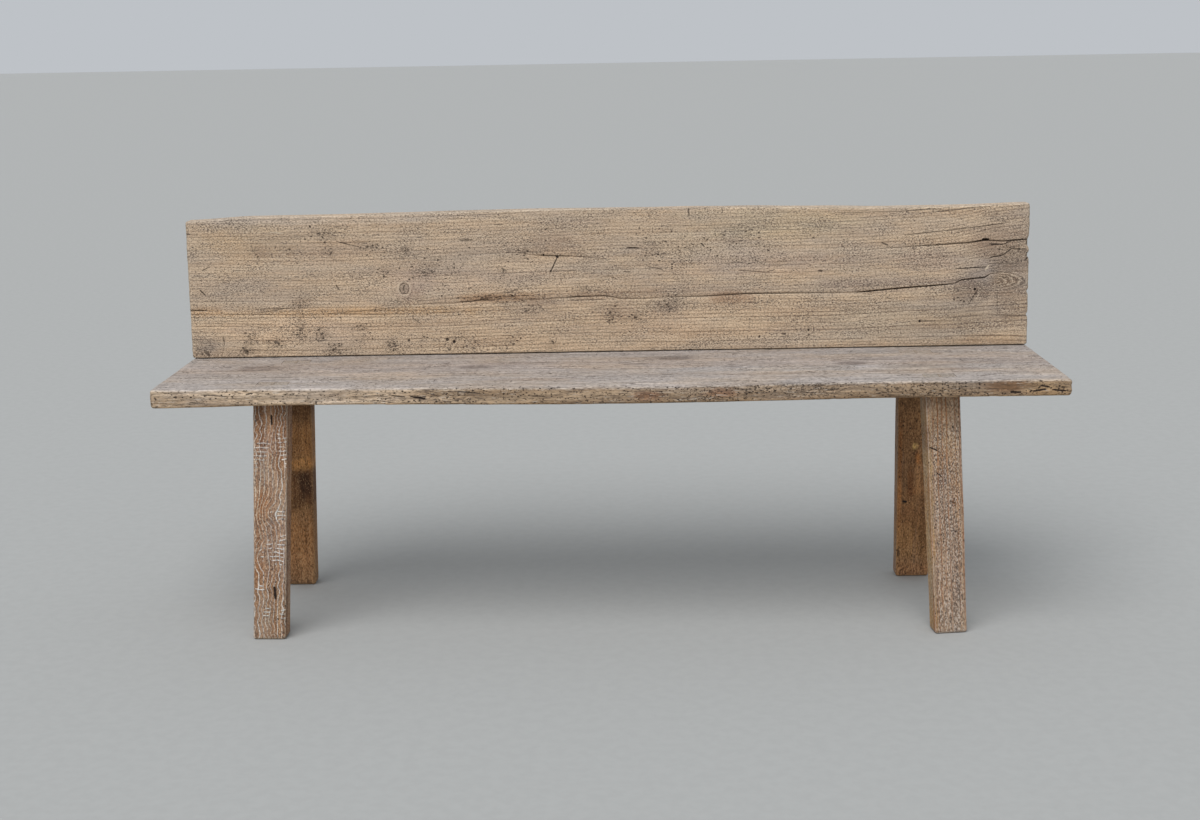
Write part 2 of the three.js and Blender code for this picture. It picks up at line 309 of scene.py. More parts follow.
def knotFields(knots, along, up, allowed, within=2.2):
    # Each knot gives the points within a few radii of it their place from its middle, in radii,
    # and its kind: 0 for a round knot and 1 for a swirl of the grain
    spot, on = np.zeros((*along.shape, 3)), np.zeros(along.shape)
    for x, height, reachX, reachUp, kind in knots:
        s, v = (along - x) / reachX, (up - height) / reachUp
        near = (np.hypot(s, v) < within) & allowed
        spot[near] = np.stack([s[near], v[near], 0 * s[near] + kind], -1)
        on[near] = 1
    return {"knotSpot": spot, "knotOn": on}


def patchField(patches, along, up, shown, seed):
    # Colour that the wood is multiplied by: a patch's own within it and 1 outside, over a ragged
    # edge. A patch has a place along and up, a reach each way and a colour. A 1 after the colour
    # makes it squarish with a clear edge
    total = np.ones((*along.shape, 3))
    ragged = layeredNoise(along / 0.03, up / 0.014, 0.5, seed, 3)
    fringe = latticeNoise(along / 0.008, up / 0.004, 0.5, seed + 1)
    for x, height, reachX, reachUp, colour, *hard in patches:
        s, v = (along - x) / reachX, (up - height) / reachUp
        if hard:
            gap = (s**6 + v**6) ** (1 / 6)
            share = (1 - smoothStep(gap * (1 + 0.1 * fringe), 0.92, 1.08)) * shown
        else:
            share = (1 - smoothStep(np.hypot(s, v) * (1 + 0.5 * ragged), 0.35, 1.2)) * shown
        total *= 1 + share[..., None] * (np.array(colour) - 1)
    return total


def nodeBox(node):
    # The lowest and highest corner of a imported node
    low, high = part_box(node)
    return np.array(low), np.array(high)


# Shader parts


def tint(red, green, blue):
    # A colour as it looks on screen, 0 to 255, made linear for the shaders
    levels = [c / 255 for c in (red, green, blue)]
    return tuple(c / 12.92 if c <= 0.04045 else ((c + 0.055) / 1.055) ** 2.4 for c in levels) + (1,)


class Wire:
    # A node's output. Sums and products written with it add the nodes that work them out
    def __init__(self, socket):
        self.socket = socket

    def __add__(self, other):
        return reckon("ADD", self, other)

    def __sub__(self, other):
        return reckon("SUBTRACT", self, other)

    def __rsub__(self, other):
        return reckon("SUBTRACT", other, self)

    def __mul__(self, other):
        return reckon("MULTIPLY", self, other)

    def __truediv__(self, other):
        return reckon("DIVIDE", self, other)

    def __pow__(self, power):
        return reckon("POWER", self, power)

    def __abs__(self):
        return reckon("ABSOLUTE", self)

    def timesPlus(self, factor, shift):
        return reckon("MULTIPLY_ADD", self, factor, shift)


class Outputs:
    # A node's outputs by name or number, each as a Wire
    def __init__(self, node):
        self.node = node

    def __getitem__(self, key):
        return Wire(self.node.outputs[key])


def treeOf(*terms):
    # The node tree of the first wire among the terms
    return next(term.socket.id_data for term in terms if isinstance(term, Wire))


def plug(socket, value):
    # A wire is linked to the socket, and any other value becomes its own
    if isinstance(value, Wire):
        socket.id_data.links.new(value.socket, socket)
    elif value is not None:
        socket.default_value = value


def plugAll(sockets, values):
    # Each value into the socket of that name or number
    for title, value in values.items():
        plug(sockets[title], value)


def addNode(tree, kind, inputs=None, **options):
    # A shader node with its options and inputs set
    made = tree.nodes.new("ShaderNode" + kind)
    for option, value in options.items():
        setattr(made, option, value)
    plugAll(made.inputs, inputs or {})
    return Outputs(made)


def reckon(operation, *terms, clamp=False):
    # A Math node, or a VectorMath node where the first wire is a vector
    inputs = dict(enumerate(terms))
    first = next(term.socket for term in terms if isinstance(term, Wire))
    if first.type == "VECTOR":
        return addNode(first.id_data, "VectorMath", inputs, operation=operation)[0]
    return addNode(first.id_data, "Math", inputs, operation=operation, use_clamp=clamp)[0]


def remap(value, low, high, toLow=0.0, toHigh=1.0):
    # toLow below low and toHigh above high, with 3t^2 - 2t^3 between
    places = {"Value": value, "From Min": low, "From Max": high, "To Min": toLow, "To Max": toHigh}
    return addNode(treeOf(value), "MapRange", places, interpolation_type="SMOOTHSTEP")["Result"]


def fade(value, low, high):
    # 1 below low and 0 above high
    return remap(value, low, high, 1.0, 0.0)


def splitVector(vector):
    # Its X, Y and Z as outputs 0, 1 and 2
    return addNode(treeOf(vector), "SeparateXYZ", {0: vector})


def joinVector(x, y, z=0.0):
    return addNode(treeOf(x), "CombineXYZ", {0: x, 1: y, 2: z})[0]


def liftedNormal(height):
    # The surface's normal as a height in metres tilts it
    return addNode(treeOf(height), "Bump", {"Strength": 1.0, "Distance": 1.0, "Height": height})[0]


def blendColour(amount, under, over, kind="MIX"):
    # under + amount * (over - under), or under + amount * (under * over - under) for MULTIPLY
    inputs = {0: amount, 6: under, 7: over}
    return addNode(treeOf(amount, under), "Mix", inputs, data_type="RGBA", blend_type=kind)[2]


def noise(place, scale, detail=3.0, roughness=0.55, distortion=0.0):
    # Layered noise about 0.5, in cells of the place's unit divided by the scale
    inputs = {
        "Vector": place,
        "Scale": scale,
        "Detail": detail,
        "Roughness": roughness,
        "Distortion": distortion,
    }
    return addNode(treeOf(place), "TexNoise", inputs)["Fac"]


def newMaterial(name):
    # A material, its node tree and its shader
    material = bpy.data.materials.new(name)
    material.use_nodes = True
    tree = material.node_tree
    return material, tree, tree.nodes["Principled BSDF"]


def newGroup(name, takes, gives):
    # takes and gives name the sockets and the kind of each
    tree = bpy.data.node_groups.new(name, "ShaderNodeTree")
    for inOut, sockets in (("INPUT", takes), ("OUTPUT", gives)):
        for title, kind in sockets.items():
            tree.interface.new_socket(title, in_out=inOut, socket_type="NodeSocket" + kind)
    takes, gives = tree.nodes.new("NodeGroupInput"), tree.nodes.new("NodeGroupOutput")
    return tree, Outputs(takes), gives.inputs


def placeGroup(group, **inputs):
    # One use of a node group, with its inputs given by name
    return addNode(treeOf(*inputs.values()), "Group", inputs, node_tree=group)


def drawnOut(takes):
    # The place divided by a length along the fibres and a width across them
    return takes["Place"] / joinVector(takes["Length"], takes["Width"], takes["Width"])


def buildFibreStreaks():
    # Noise drawn out along the fibres, which run along the place's X
    tree, takes, gives = newGroup(
        "fibreStreaks",
        {"Place": "Vector", "Length": "Float", "Width": "Float", "Detail": "Float"},
        {"Streak": "Float"},
    )
    plug(gives["Streak"], noise(drawnOut(takes), 1.0, takes["Detail"], 0.6))
    return tree


def buildGrowthLines():
    # Dark late wood once for each whole number of the ring count, of varying strength
    tree, takes, gives = newGroup(
        "growthLines",
        {"Ring": "Float", "Place": "Vector", "Waver": "Float", "Sharpness": "Float"},
        {"Line": "Float", "Tone": "Float"},
    )
    grain = takes["Place"] * (14.0, 160.0, 160.0)
    waver = noise(grain, 1.0, 2.0) - 0.5
    count = waver.timesPlus(takes["Waver"], takes["Ring"])
    part = reckon("FRACT", count)
    whole = reckon("FLOOR", count)
    strength = addNode(tree, "TexWhiteNoise", {"W": whole}, noise_dimensions="1D")["Value"]
    start = takes["Sharpness"] * 0.8
    rise = remap(part, start, 0.92)
    fall = fade(part, 0.93, 1.0)
    line = rise * fall
    plug(gives["Line"], line * remap(strength, 0.0, 1.0, 0.5, 1.0))
    plug(gives["Tone"], strength)
    return tree


def buildWormSpecks():
    # Ragged dark flecks drawn out along the fibres, thick where Cluster is high
    tree, takes, gives = newGroup(
        "wormSpecks",
        {"Place": "Vector", "Length": "Float", "Width": "Float", "Cluster": "Float"},
        {"Speck": "Float"},
    )
    fleck = noise(drawnOut(takes), 1.0, 2.5, 0.6, 0.6)
    edge = takes["Cluster"].timesPlus(-0.17, 0.68)
    plug(gives["Speck"], remap(fleck - edge, 0.0, 0.07))
    return tree


def buildGrit():
    # Fine flecks along the fibres. One noise gives both: its low values are dark, its high pale
    tree, takes, gives = newGroup(
        "grit",
        {"Place": "Vector", "Length": "Float", "Width": "Float", "Amount": "Float"},
        {"Dark": "Float", "Pale": "Float"},
    )
    value = noise(drawnOut(takes), 1.0, 2.0, 0.65, 0.4)
    edge = takes["Amount"].timesPlus(0.2, 0.3)
    plug(gives["Dark"], remap(edge - value, 0.0, 0.06))
    far = edge + value - 1.0
    plug(gives["Pale"], remap(far, 0.0, 0.06))
    return tree


def buildWormRuns():
    # Thin curled tracks where a noise passes its middle value, and round holes at the cells of a
    # Voronoi pattern. Amount sets how many there are
    tree, takes, gives = newGroup(
        "wormRuns",
        {"Place": "Vector", "Size": "Float", "Amount": "Float"},
        {"Mask": "Float"},
    )
    scaled = takes["Place"] / takes["Size"]
    drawn = scaled * (0.35, 0.75, 0.75)
    wander = noise(drawn, 1.0, 1.0, 0.5, 1.2)
    gap = abs(wander - 0.5)
    track = fade(gap, 0.012, 0.04)
    gate = noise(scaled * (0.7, 1.1, 1.1), 1.0, 1.0)
    start = takes["Amount"].timesPlus(-0.22, 0.68)
    track = track * remap(gate - start, 0.0, 0.04)
    cells = addNode(tree, "TexVoronoi", {"Vector": scaled * (0.8, 1.2, 1.2), "Scale": 1.0})
    chance = addNode(tree, "SeparateColor", {0: cells["Color"]})
    here = reckon("LESS_THAN", chance[0], takes["Amount"] * 0.6)
    size = chance[1].timesPlus(0.26, 0.08)
    edge = size + 0.13
    hole = fade(cells["Distance"], size, edge) * here
    plug(gives["Mask"], reckon("MAXIMUM", track, hole))
    return tree


def buildKnot():
    # Rings about the middle of a knot, out to one radius. A round knot has a grey heart with a
    # dark split, and a swirl has crescents on its right side alone
    tree, takes, gives = newGroup(
        "knot",
        {"Spot": "Vector", "On": "Float", "Place": "Vector"},
        {"Dark": "Float", "Pale": "Float", "Heart": "Float"},
    )
    spot = splitVector(takes["Spot"])
    flat = joinVector(spot[0], spot[1])
    uneven = noise(takes["Place"], 160.0, 2.0) - 0.5
    kind = spot[2]
    swing = kind.timesPlus(-0.05, 0.35)
    radius = addNode(tree, "VectorMath", {0: flat}, operation="LENGTH")["Value"]
    gap = uneven.timesPlus(swing, radius)
    inside = fade(gap, 0.95, 1.1) * reckon("GREATER_THAN", takes["On"], 0.995)
    side = reckon("MAXIMUM", 1.0 - kind, remap(spot[0], -0.1, 0.25))
    inside = inside * side
    inside = inside * kind.timesPlus(-0.3, 1.0)
    count = gap * kind.timesPlus(2.6, 2.2)
    middle = abs(reckon("FRACT", count) - 0.5)
    rounds = reckon("GREATER_THAN", gap, kind.timesPlus(-0.4, 0.62))
    dark = fade(middle, 0.1, 0.25) * rounds
    dark = dark * remap(uneven, -0.12, 0.08, 0.35, 1.0)
    pale = remap(middle, 0.3, 0.42) * rounds
    curl = (spot[1] ** 2.0).timesPlus(-1.1, spot[0] + 0.12)
    splitX = fade(abs(curl), 0.07, 0.18)
    splitUp = fade(abs(spot[1] - 0.1), 0.3, 0.42)
    split = splitX * splitUp * (1.0 - kind)
    plug(gives["Dark"], reckon("MAXIMUM", dark, split) * inside)
    plug(gives["Pale"], pale * inside)
    heart = fade(gap, 0.6, 0.7) * (1.0 - kind)
    plug(gives["Heart"], heart * inside)
    return tree


def buildCrossMarks():
    # Short wavering lines across the fibres, in patches: pale ridges left by the ray cells
    tree, takes, gives = newGroup(
        "crossMarks",
        {"Place": "Vector", "Spacing": "Float", "Amount": "Float"},
        {"Line": "Float"},
    )
    waver = noise(takes["Place"] * (20.0, 32.0, 32.0), 1.0, 2.0)
    along = splitVector(takes["Place"])[0]
    count = waver.timesPlus(1.6, along / takes["Spacing"])
    middle = abs(reckon("FRACT", count) - 0.5)
    line = fade(middle, 0.08, 0.2)
    patches = noise(takes["Place"] * (22.0, 55.0, 55.0), 1.0, 2.0)
    edge = takes["Amount"].timesPlus(-0.25, 0.68)
    shown = remap(patches - edge, 0.0, 0.05)
    plug(gives["Line"], line * shown)
    return tree


def buildGreyWeathering():
    # Wood drawn towards the grey of long weather, in patches and along the fibres
    tree, takes, gives = newGroup(
        "greyWeathering",
        {"Place": "Vector", "Colour": "Color", "Grey": "Color", "Amount": "Float"},
        {"Colour": "Color"},
    )
    patches = noise(takes["Place"] * (5.0, 22.0, 22.0), 1.0, 4.0)
    fibres = noise(takes["Place"] * (22.0, 420.0, 420.0), 1.0, 2.0)
    uneven = remap(patches, 0.3, 0.7, -0.45, 0.45) + (fibres - 0.5)
    mask = reckon("ADD", takes["Amount"], uneven * 0.6, clamp=True)
    plug(gives["Colour"], blendColour(mask, takes["Colour"], takes["Grey"]))
    return tree


def buildScratch():
    # A mark from the mesh's own fields: Spot holds how far along and across the mark a point is,
    # Size its half length, width and tone, and On is 1 where those can be trusted. Slimmer
    # towards both ends. Tone is above 0 on dark marks and below 0 on light ones
    tree, takes, gives = newGroup(
        "scratch",
        {"Spot": "Vector", "Size": "Vector", "On": "Float", "Ragged": "Float"},
        {"Dark": "Float", "Light": "Float"},
    )
    spot, size = splitVector(takes["Spot"]), splitVector(takes["Size"])
    along = abs(spot[0])
    past = reckon("MAXIMUM", along - size[0], 0.0)
    across = spot[1] + takes["Ragged"]
    gap = reckon("SQRT", across.timesPlus(across, past ** 2.0))
    share = reckon("DIVIDE", along, size[0] + size[1], clamp=True)
    slim = (share ** 3.0).timesPlus(-0.6, 1.0)
    width = size[1] * slim
    mask = fade(gap, width * 0.45, width)
    mask = mask * reckon("GREATER_THAN", takes["On"], 0.995)
    mask = mask * size[2]
    plug(gives["Dark"], reckon("MAXIMUM", mask, 0.0))
    plug(gives["Light"], reckon("MAXIMUM", mask * -1.0, 0.0))
    return tree


groups = {
    "fibres": buildFibreStreaks(),
    "lines": buildGrowthLines(),
    "specks": buildWormSpecks(),
    "grit": buildGrit(),
    "runs": buildWormRuns(),
    "cross": buildCrossMarks(),
    "knot": buildKnot(),
    "weather": buildGreyWeathering(),
    "scratch": buildScratch(),
}
print("shader groups made")


def weatheredWood(name, look, markLayers=0, fromObject=False):
    # Bare timber. Reads the place along the fibres, the ring count and the wear, grey, crack, stain
    # and end-grain masks that the mesh carries. On the seat the crack mask also holds painted shade on
    # the floors of the tenon pockets
    material, tree, shader = newMaterial(name)

    def field(title):
        return addNode(tree, "Attribute", attribute_name=title)["Fac"]

    if fromObject:
        parts = splitVector(addNode(tree, "TexCoord")["Object"])
        place = joinVector(parts[2], parts[0], parts[1])
        ring = parts[1] * 260.0
        wear, crack, stain, endGrain, worm = 0.0, 0.0, 0.0, 0.6, 0.0
        grey = figure = addNode(tree, "Math", {0: 0.0, 1: 0.0})[0]
    else:
        place = addNode(tree, "Attribute", attribute_name="place")["Vector"]
        ring, wear, grey, crack = [field(title) for title in ("ring", "wear", "grey", "crack")]
        stain, endGrain, figure, worm = [
            field(title) for title in ("stain", "endGrain", "figure", "worm")
        ]

    # Growth lines over broad bands of colour
    fine = placeGroup(
        groups["fibres"],
        Place=place,
        Length=look["fibreLength"],
        Width=look["fibreWidth"],
        Detail=3.0,
    )["Streak"]
    broad = placeGroup(groups["fibres"], Place=place, Length=0.3, Width=0.014, Detail=4.0)["Streak"]
    rings = placeGroup(
        groups["lines"], Ring=ring, Place=place, Waver=look["waver"], Sharpness=look["sharpness"]
    )
    base = blendColour(remap(broad, 0.3, 0.7), look["pale"], look["brown"])
    toned = rings["Tone"] * look["ringTone"]
    base = blendColour(toned, base, look["brown"])
    broken = noise(place * (26.0, 110.0, 110.0), 1.0, 2.0)
    lineShare = figure.timesPlus(look["figureStrength"], look["lineStrength"])
    if look["quietSides"] > 0:
        quiet = remap(figure, -1.0, 0.0, -look["quietSides"], 0.0)
        lineShare = lineShare + quiet
    lineShare = lineShare * remap(broken, 0.34, 0.58, 0.5, 1.0)
    line = reckon("MULTIPLY", rings["Line"], lineShare, clamp=True)
    base = blendColour(line, base, look["late"])
    cross = 0.0
    if look["crossAmount"] > 0:
        crossShare = figure + look["crossAmount"]
        cross = placeGroup(
            groups["cross"], Place=place, Spacing=look["crossSpacing"], Amount=crossShare
        )["Line"]
        base = blendColour(cross * look["crossStrength"], base, look["late"])
    weather = placeGroup(
        groups["weather"],
        Place=place,
        Colour=base,
        Grey=look["grey"],
        Amount=grey + look["greyAmount"],
    )
    colour = weather["Colour"]
    if not fromObject:
        tinge = addNode(tree, "Attribute", attribute_name="tinge")["Vector"]
        colour = blendColour(1.0, colour, tinge, "MULTIPLY")

    # Streaks, flecks and worm marks
    mottle = noise(place / look["mottleSize"], 1.0, 2.0, 0.65)
    bandTone = remap(broad, 0.25, 0.75, 1 + look["band"], 1 - look["band"])
    streakTone = remap(fine, 0.25, 0.75, 1 - look["streak"], 1 + look["streak"])
    streakTone = streakTone * bandTone
    mottleTone = remap(mottle, 0.25, 0.75, 1 - look["mottle"], 1 + look["mottle"])
    tone = streakTone * mottleTone
    greyTone = addNode(tree, "CombineColor", {0: tone, 1: tone, 2: tone})[0]
    colour = blendColour(1.0, colour, greyTone, "MULTIPLY")

    drift = noise(place * (9.0, 30.0, 30.0), 1.0, 3.0)
    uneven = remap(drift, 0.34, 0.66, -look["gritDrift"], look["gritDrift"])
    grit = placeGroup(
        groups["grit"],
        Place=place,
        Length=look["gritLength"],
        Width=look["gritWidth"],
        Amount=uneven + look["gritAmount"],
    )
    # The tenons' ends, the greyest wood of all, are worn calmer, and so are the edges of one leg
    calm = remap(grey, 0.85, 1.1, 1.0, 0.25)
    calm = calm * remap(figure, 0.2, 1.0, 1.0, 1 - look["figureCalm"])
    calm = calm * remap(rings["Line"], 0.2, 0.8, 1.0, 1 - look["lineCalm"])
    gritShare = grit["Dark"] * look["gritDark"] * calm
    colour = blendColour(gritShare, colour, look["gritTone"])
    gritShare = grit["Pale"] * look["gritPale"] * calm
    colour = blendColour(gritShare, colour, look["worn"])
    cluster = remap(drift, 0.38, 0.66, 0.0, 0.6) + stain
    cluster = cluster * look["speckAmount"]
    specks = placeGroup(
        groups["specks"],
        Place=place,
        Length=look["speckLength"],
        Width=look["speckWidth"],
        Cluster=cluster,
    )["Speck"]
    colour = blendColour(specks * look["speckStrength"], colour, look["speck"])
    colour = blendColour(stain * look["stainStrength"], colour, look["stain"])

    uneven = mottle.timesPlus(0.9, fine * 0.3)
    wearEdge = remap(uneven + wear, 0.95, 1.5)
    colour = blendColour(wearEdge * look["wearStrength"], colour, look["worn"])
    colour = blendColour(endGrain * look["endStrength"], colour, look["endWood"])
    runs = 0.0
    if look["wormSize"] > 0:
        runs = placeGroup(groups["runs"], Place=place, Size=look["wormSize"], Amount=worm)["Mask"]
        colour = blendColour(runs * look["wormStrength"], colour, look["crack"])
    colour = blendColour(crack, colour, look["crack"])
    if look["knotty"]:
        spot = addNode(tree, "Attribute", attribute_name="knotSpot")["Vector"]
        knot = placeGroup(groups["knot"], Spot=spot, On=field("knotOn"), Place=place)
        colour = blendColour(knot["Heart"] * 0.4, colour, look["heart"])
        colour = blendColour(knot["Pale"] * 0.65, colour, look["worn"])
        colour = blendColour(knot["Dark"] * 0.7, colour, look["crack"])

    ragged = (noise(place, 420.0, 2.0) - 0.5) * 0.0022
    dark = light = 0.0
    for layer in range(markLayers):
        spot, size, on = [
            addNode(tree, "Attribute", attribute_name=f"{title}{layer}")
            for title in ("markSpot", "markSize", "markOn")
        ]
        made = placeGroup(
            groups["scratch"], Spot=spot["Vector"], Size=size["Vector"], On=on["Fac"], Ragged=ragged
        )
        dark = reckon("MAXIMUM", dark, made["Dark"])
        light = reckon("MAXIMUM", light, made["Light"])
    if markLayers:
        colour = blendColour(dark, colour, look["crack"])
        colour = blendColour(light, colour, look["worn"])

    # Relief, each part by its own depth
    height = fine * look["fineDepth"]
    for part, lift in (
        (line, look["ridgeDepth"]),
        (mottle, look["mottleDepth"]),
        (grit["Dark"], -look["gritDepth"]),
        (specks, -look["speckDepth"]),
        (cross, look["ridgeDepth"]),
        (runs, -look["speckDepth"]),
        (dark, -look["markDepth"]),
    ):
        if isinstance(part, Wire):
            height = part.timesPlus(lift, height)
    made = {
        "Base Color": colour,
        "Normal": liftedNormal(height),
        "Roughness": remap(fine, 0.2, 0.8, look["roughness"] - 0.06, look["roughness"] + 0.06),
        "Specular IOR Level": look["gloss"],
    }
    plugAll(shader.inputs, made)
    return material


# What all the timber shares. Each piece below changes what differs
timber = {
    "pale": tint(213, 188, 158),
    "brown": tint(196, 168, 139),
    "late": tint(108, 84, 64),
    "grey": tint(164, 152, 141),
    "worn": tint(212, 194, 170),
    "speck": tint(84, 72, 66),
    "gritTone": tint(112, 97, 90),
    "stain": tint(112, 98, 86),
    "crack": tint(44, 33, 27),
    "heart": tint(138, 124, 110),
    "endWood": tint(128, 106, 84),
    "greyAmount": 0.1,
    "ringTone": 0.3,
    "lineStrength": 0.66,
    "figureStrength": 0.4,
    "figureCalm": 0.0,
    "lineCalm": 0.0,
    "quietSides": 0.0,
    "waver": 0.3,
    "sharpness": 0.68,
    "knotty": False,
    "band": 0.03,
    "crossAmount": 0.0,
    "crossSpacing": 0.007,
    "crossStrength": 0.5,
    "fibreLength": 0.045,
    "fibreWidth": 0.0026,
    "streak": 0.16,
    "mottle": 0.3,
    "mottleSize": (0.0034, 0.0024, 0.0024),
    "gritAmount": 0.6,
    "gritDrift": 0.16,
    "gritDark": 0.75,
    "gritPale": 0.55,
    "gritLength": 0.0036,
    "gritWidth": 0.0018,
    "speckAmount": 0.85,
    "speckStrength": 0.75,
    "speckLength": 0.0055,
    "speckWidth": 0.0027,
    "wormSize": 0.005,
    "wormStrength": 0.8,
    "stainStrength": 0.3,
    "wearStrength": 0.5,
    "endStrength": 0.5,
    "fineDepth": 0.0006,
    "ridgeDepth": -0.0006,
    "mottleDepth": 0.0004,
    "gritDepth": 0.0005,
    "speckDepth": 0.0008,
    "markDepth": 0.0012,
    "roughness": 0.82,
    "gloss": 0.25,
}


# The seat plank's sizes, which the backrest on its rear edge needs too
seat = {
    "length": 1.64,
    "height": 0.465,
    "thickness": 0.031,
    "depthLeft": 0.353,
    "depthRight": 0.391,
    "shift": 0.18565,
    "bow": 0.008,
    "bowShares": (0, 0.2, 0.45, 0.62, 0.8, 1, 0.95, 0.6, 0.3, 0.08, 0),
    "belly": 0.004,
    "endBelly": 0.004,
    "wearDrop": 0.003,
    "wearWidth": 0.022,
    "endArris": 0.005,
    "legReach": 0.54,
    "stations": 470,
    "wormShares": (0.3, 0.3, 0.4, 0.5, 0.55, 0.65, 0.75, 0.8, 0.9, 1.0, 1.0),
    "recess": 0.004,
    "grainStretch": 0.7,
    "ringSpacing": 0.009,
    # How far behind the front edge and above the plank's foot the pith lies
    "pith": (0.19, -0.05),
    # Torn spots of the front edge: place along, height, reach along, reach up, depth
    "tornSpots": ((0.075, 0.014, 0.028, 0.007, 0.0022), (0.215, 0.016, 0.024, 0.007, 0.0022)),
    # Stretches of it with few worm pits and with no worm specks: start, full, fade and end
    "smoothStretch": (0.66, 0.68, 0.74, 0.76),
    "cleanStretch": (0.655, 0.67, 0.735, 0.75),
    # How far beside a tenon the mesh's lanes still run straight
    "laneMargin": 0.004,
    # Clearance round the tenons, and how thin the walls of their pockets are
    "wall": 0.0004,
}


def plankAlong(x, length):
    # 0 at the plank's left end and 1 at its right one
    return x / length + 0.5


def seatEdgeAt(x, side):
    # The seat plank's front edge for side -1, and for 1 its back edge, which the backrest is on
    left, right = seat["depthLeft"], seat["depthRight"]
    depth = left + (right - left) * plankAlong(x, seat["length"])
    return (left + right) / 4 + side * depth / 2 - seat["shift"]


# The backrest plank

backrest = {
    "length": 1.64,
    "thickness": 0.04,
    "heightLeft": 0.269,
    "heightRight": 0.274,
    "crown": 0.009,
    "crownShares": (0, 0.65, 0.6, 0.7, 0.9, 1, 0.88, 0.84, 0.7, 0.36, 0, -0.03, 0.28),
    "leanDegrees": 2.6,
    "bottom": 0.4653,
    "arris": 0.004,
    "stations": 346,
    "lip": 0.0011,
    "ringSpacing": 0.0062,
    # How far above the plank's foot and in front of its front the pith lies
    "pith": (0.42, 0.05),
    # Where the torn stretch of the long split starts, is full, fades and ends, and its height
    "tornStretch": (-0.29, -0.24, -0.14, -0.1),
    "tornHeight": 0.111,
    # Bites out of the right end: depth, height, reach up, and where across they fade
    "bites": ((0.0055, 0.201, 0.009, (0.01, 0.035)), (0.0045, 0.176, 0.005, (0.008, 0.03))),
    # Nicks in it: height and reach up
    "nicks": ((0.105, 0.004), (0.06, 0.003)),
    "nickDepth": 0.003,
    # Greyer spots, and one where growth lines stand out: place along, height, reaches, strength
    "greySpots": ((0.75, 0.13, 0.09, 0.06, 0.3), (-0.79, 0.025, 0.03, 0.022, 0.4)),
    "figureSpots": ((0.77, 0.127, 0.055, 0.035, 0.9),),
    # Knots: place along, height, reach along, reach up, and 0 for round or 1 for a swirl
    "knots": ((-0.398, 0.131, 0.013, 0.0155, 0), (0.745, 0.126, 0.07, 0.02, 1)),
    # Line that the rings run along: place along and height
    "ringPath": (
        (-0.82, 0.095),
        (-0.4, 0.098),
        (0.0, 0.106),
        (0.3, 0.109),
        (0.5, 0.11),
        (0.6, 0.115),
        (0.67, 0.121),
        (0.75, 0.137),
        (0.82, 0.144),
    ),
    # Where the rings bend: place along, height, reach along, reach up, and how far
    "ringBends": (
        (-0.398, 0.131, 0.05, 0.02, 0.010),
        (0.769, 0.124, 0.06, 0.03, 0.014),
        (-0.6, 0.104, 0.03, 0.008, 0.003),
    ),
    # Long split: place along, height, depth and half width, all in millimetres
    "split": (
        (-819, 95, 3.5, 1.0),
        (-795, 94, 2.5, 0.9),
        (-785, 94, 0.5, 0.5),
        (-701, 94, 0.5, 0.5),
        (-650, 95, 1.2, 0.6),
        (-588, 96, 0.6, 0.5),
        (-488, 95, 0.4, 0.5),
        (-417, 98, 0.4, 0.5),
        (-302, 100, 0.9, 0.7),
        (-251, 105, 1.5, 0.9),
        (-186, 108, 0.3, 0.5),
        (-165, 104, 0.3, 0.5),
        (-150, 104, 0.9, 0.7),
        (-136, 105, 0.9, 0.7),
        (-79, 107, 1.2, 0.8),
        (-60, 109, 2.2, 0.9),
        (-6, 110, 1.8, 0.8),
        (25, 104, 1.2, 0.8),
        (59, 103, 1.2, 0.8),
        (109, 105, 0.8, 0.6),
        (190, 106, 2.0, 0.8),
        (268, 109, 2.6, 1.0),
        (403, 109, 1.4, 0.8),
        (480, 108, 1.0, 0.7),
        (500, 109, 4.5, 1.3),
        (573, 115, 5.0, 1.5),
        (650, 120, 4.0, 1.2),
        (676, 122, 1.0, 0.7),
        (688, 129, 3.5, 1.1),
        (734, 133, 4.0, 1.2),
        (745, 140, 1.2, 0.8),
        (775, 143, 0.4, 0.5),
        (819, 144, 1.0, 0.7),
    ),
    "upperSplit": (
        (-821, 198, 0.0, 0.5),
        (-174, 196, 0.3, 0.5),
        (-135, 190, 0.8, 0.6),
        (-120, 190, 2.2, 0.9),
        (-89, 189, 2.2, 0.9),
        (-67, 188, 0.8, 0.6),
        (20, 185, 0.2, 0.5),
        (180, 185, 0.0, 0.5),
        (490, 189, 0.2, 0.5),
        (577, 195, 1.0, 0.7),
        (640, 198, 2.0, 0.9),
        (700, 201, 2.5, 1.0),
        (728, 205, 5.0, 1.8),
        (734, 206, 7.0, 2.4),
        (742, 205, 2.0, 1.0),
        (768, 203, 2.5, 0.9),
        (820, 206, 4.5, 1.3),
    ),
}


def splitTable(rows):
    # Height, depth and half width at any place along, by straight lines between the rows
    table = np.array(rows) / 1000
    return lambda x: [np.interp(x, table[:, 0], table[:, column]) for column in (1, 2, 3)]


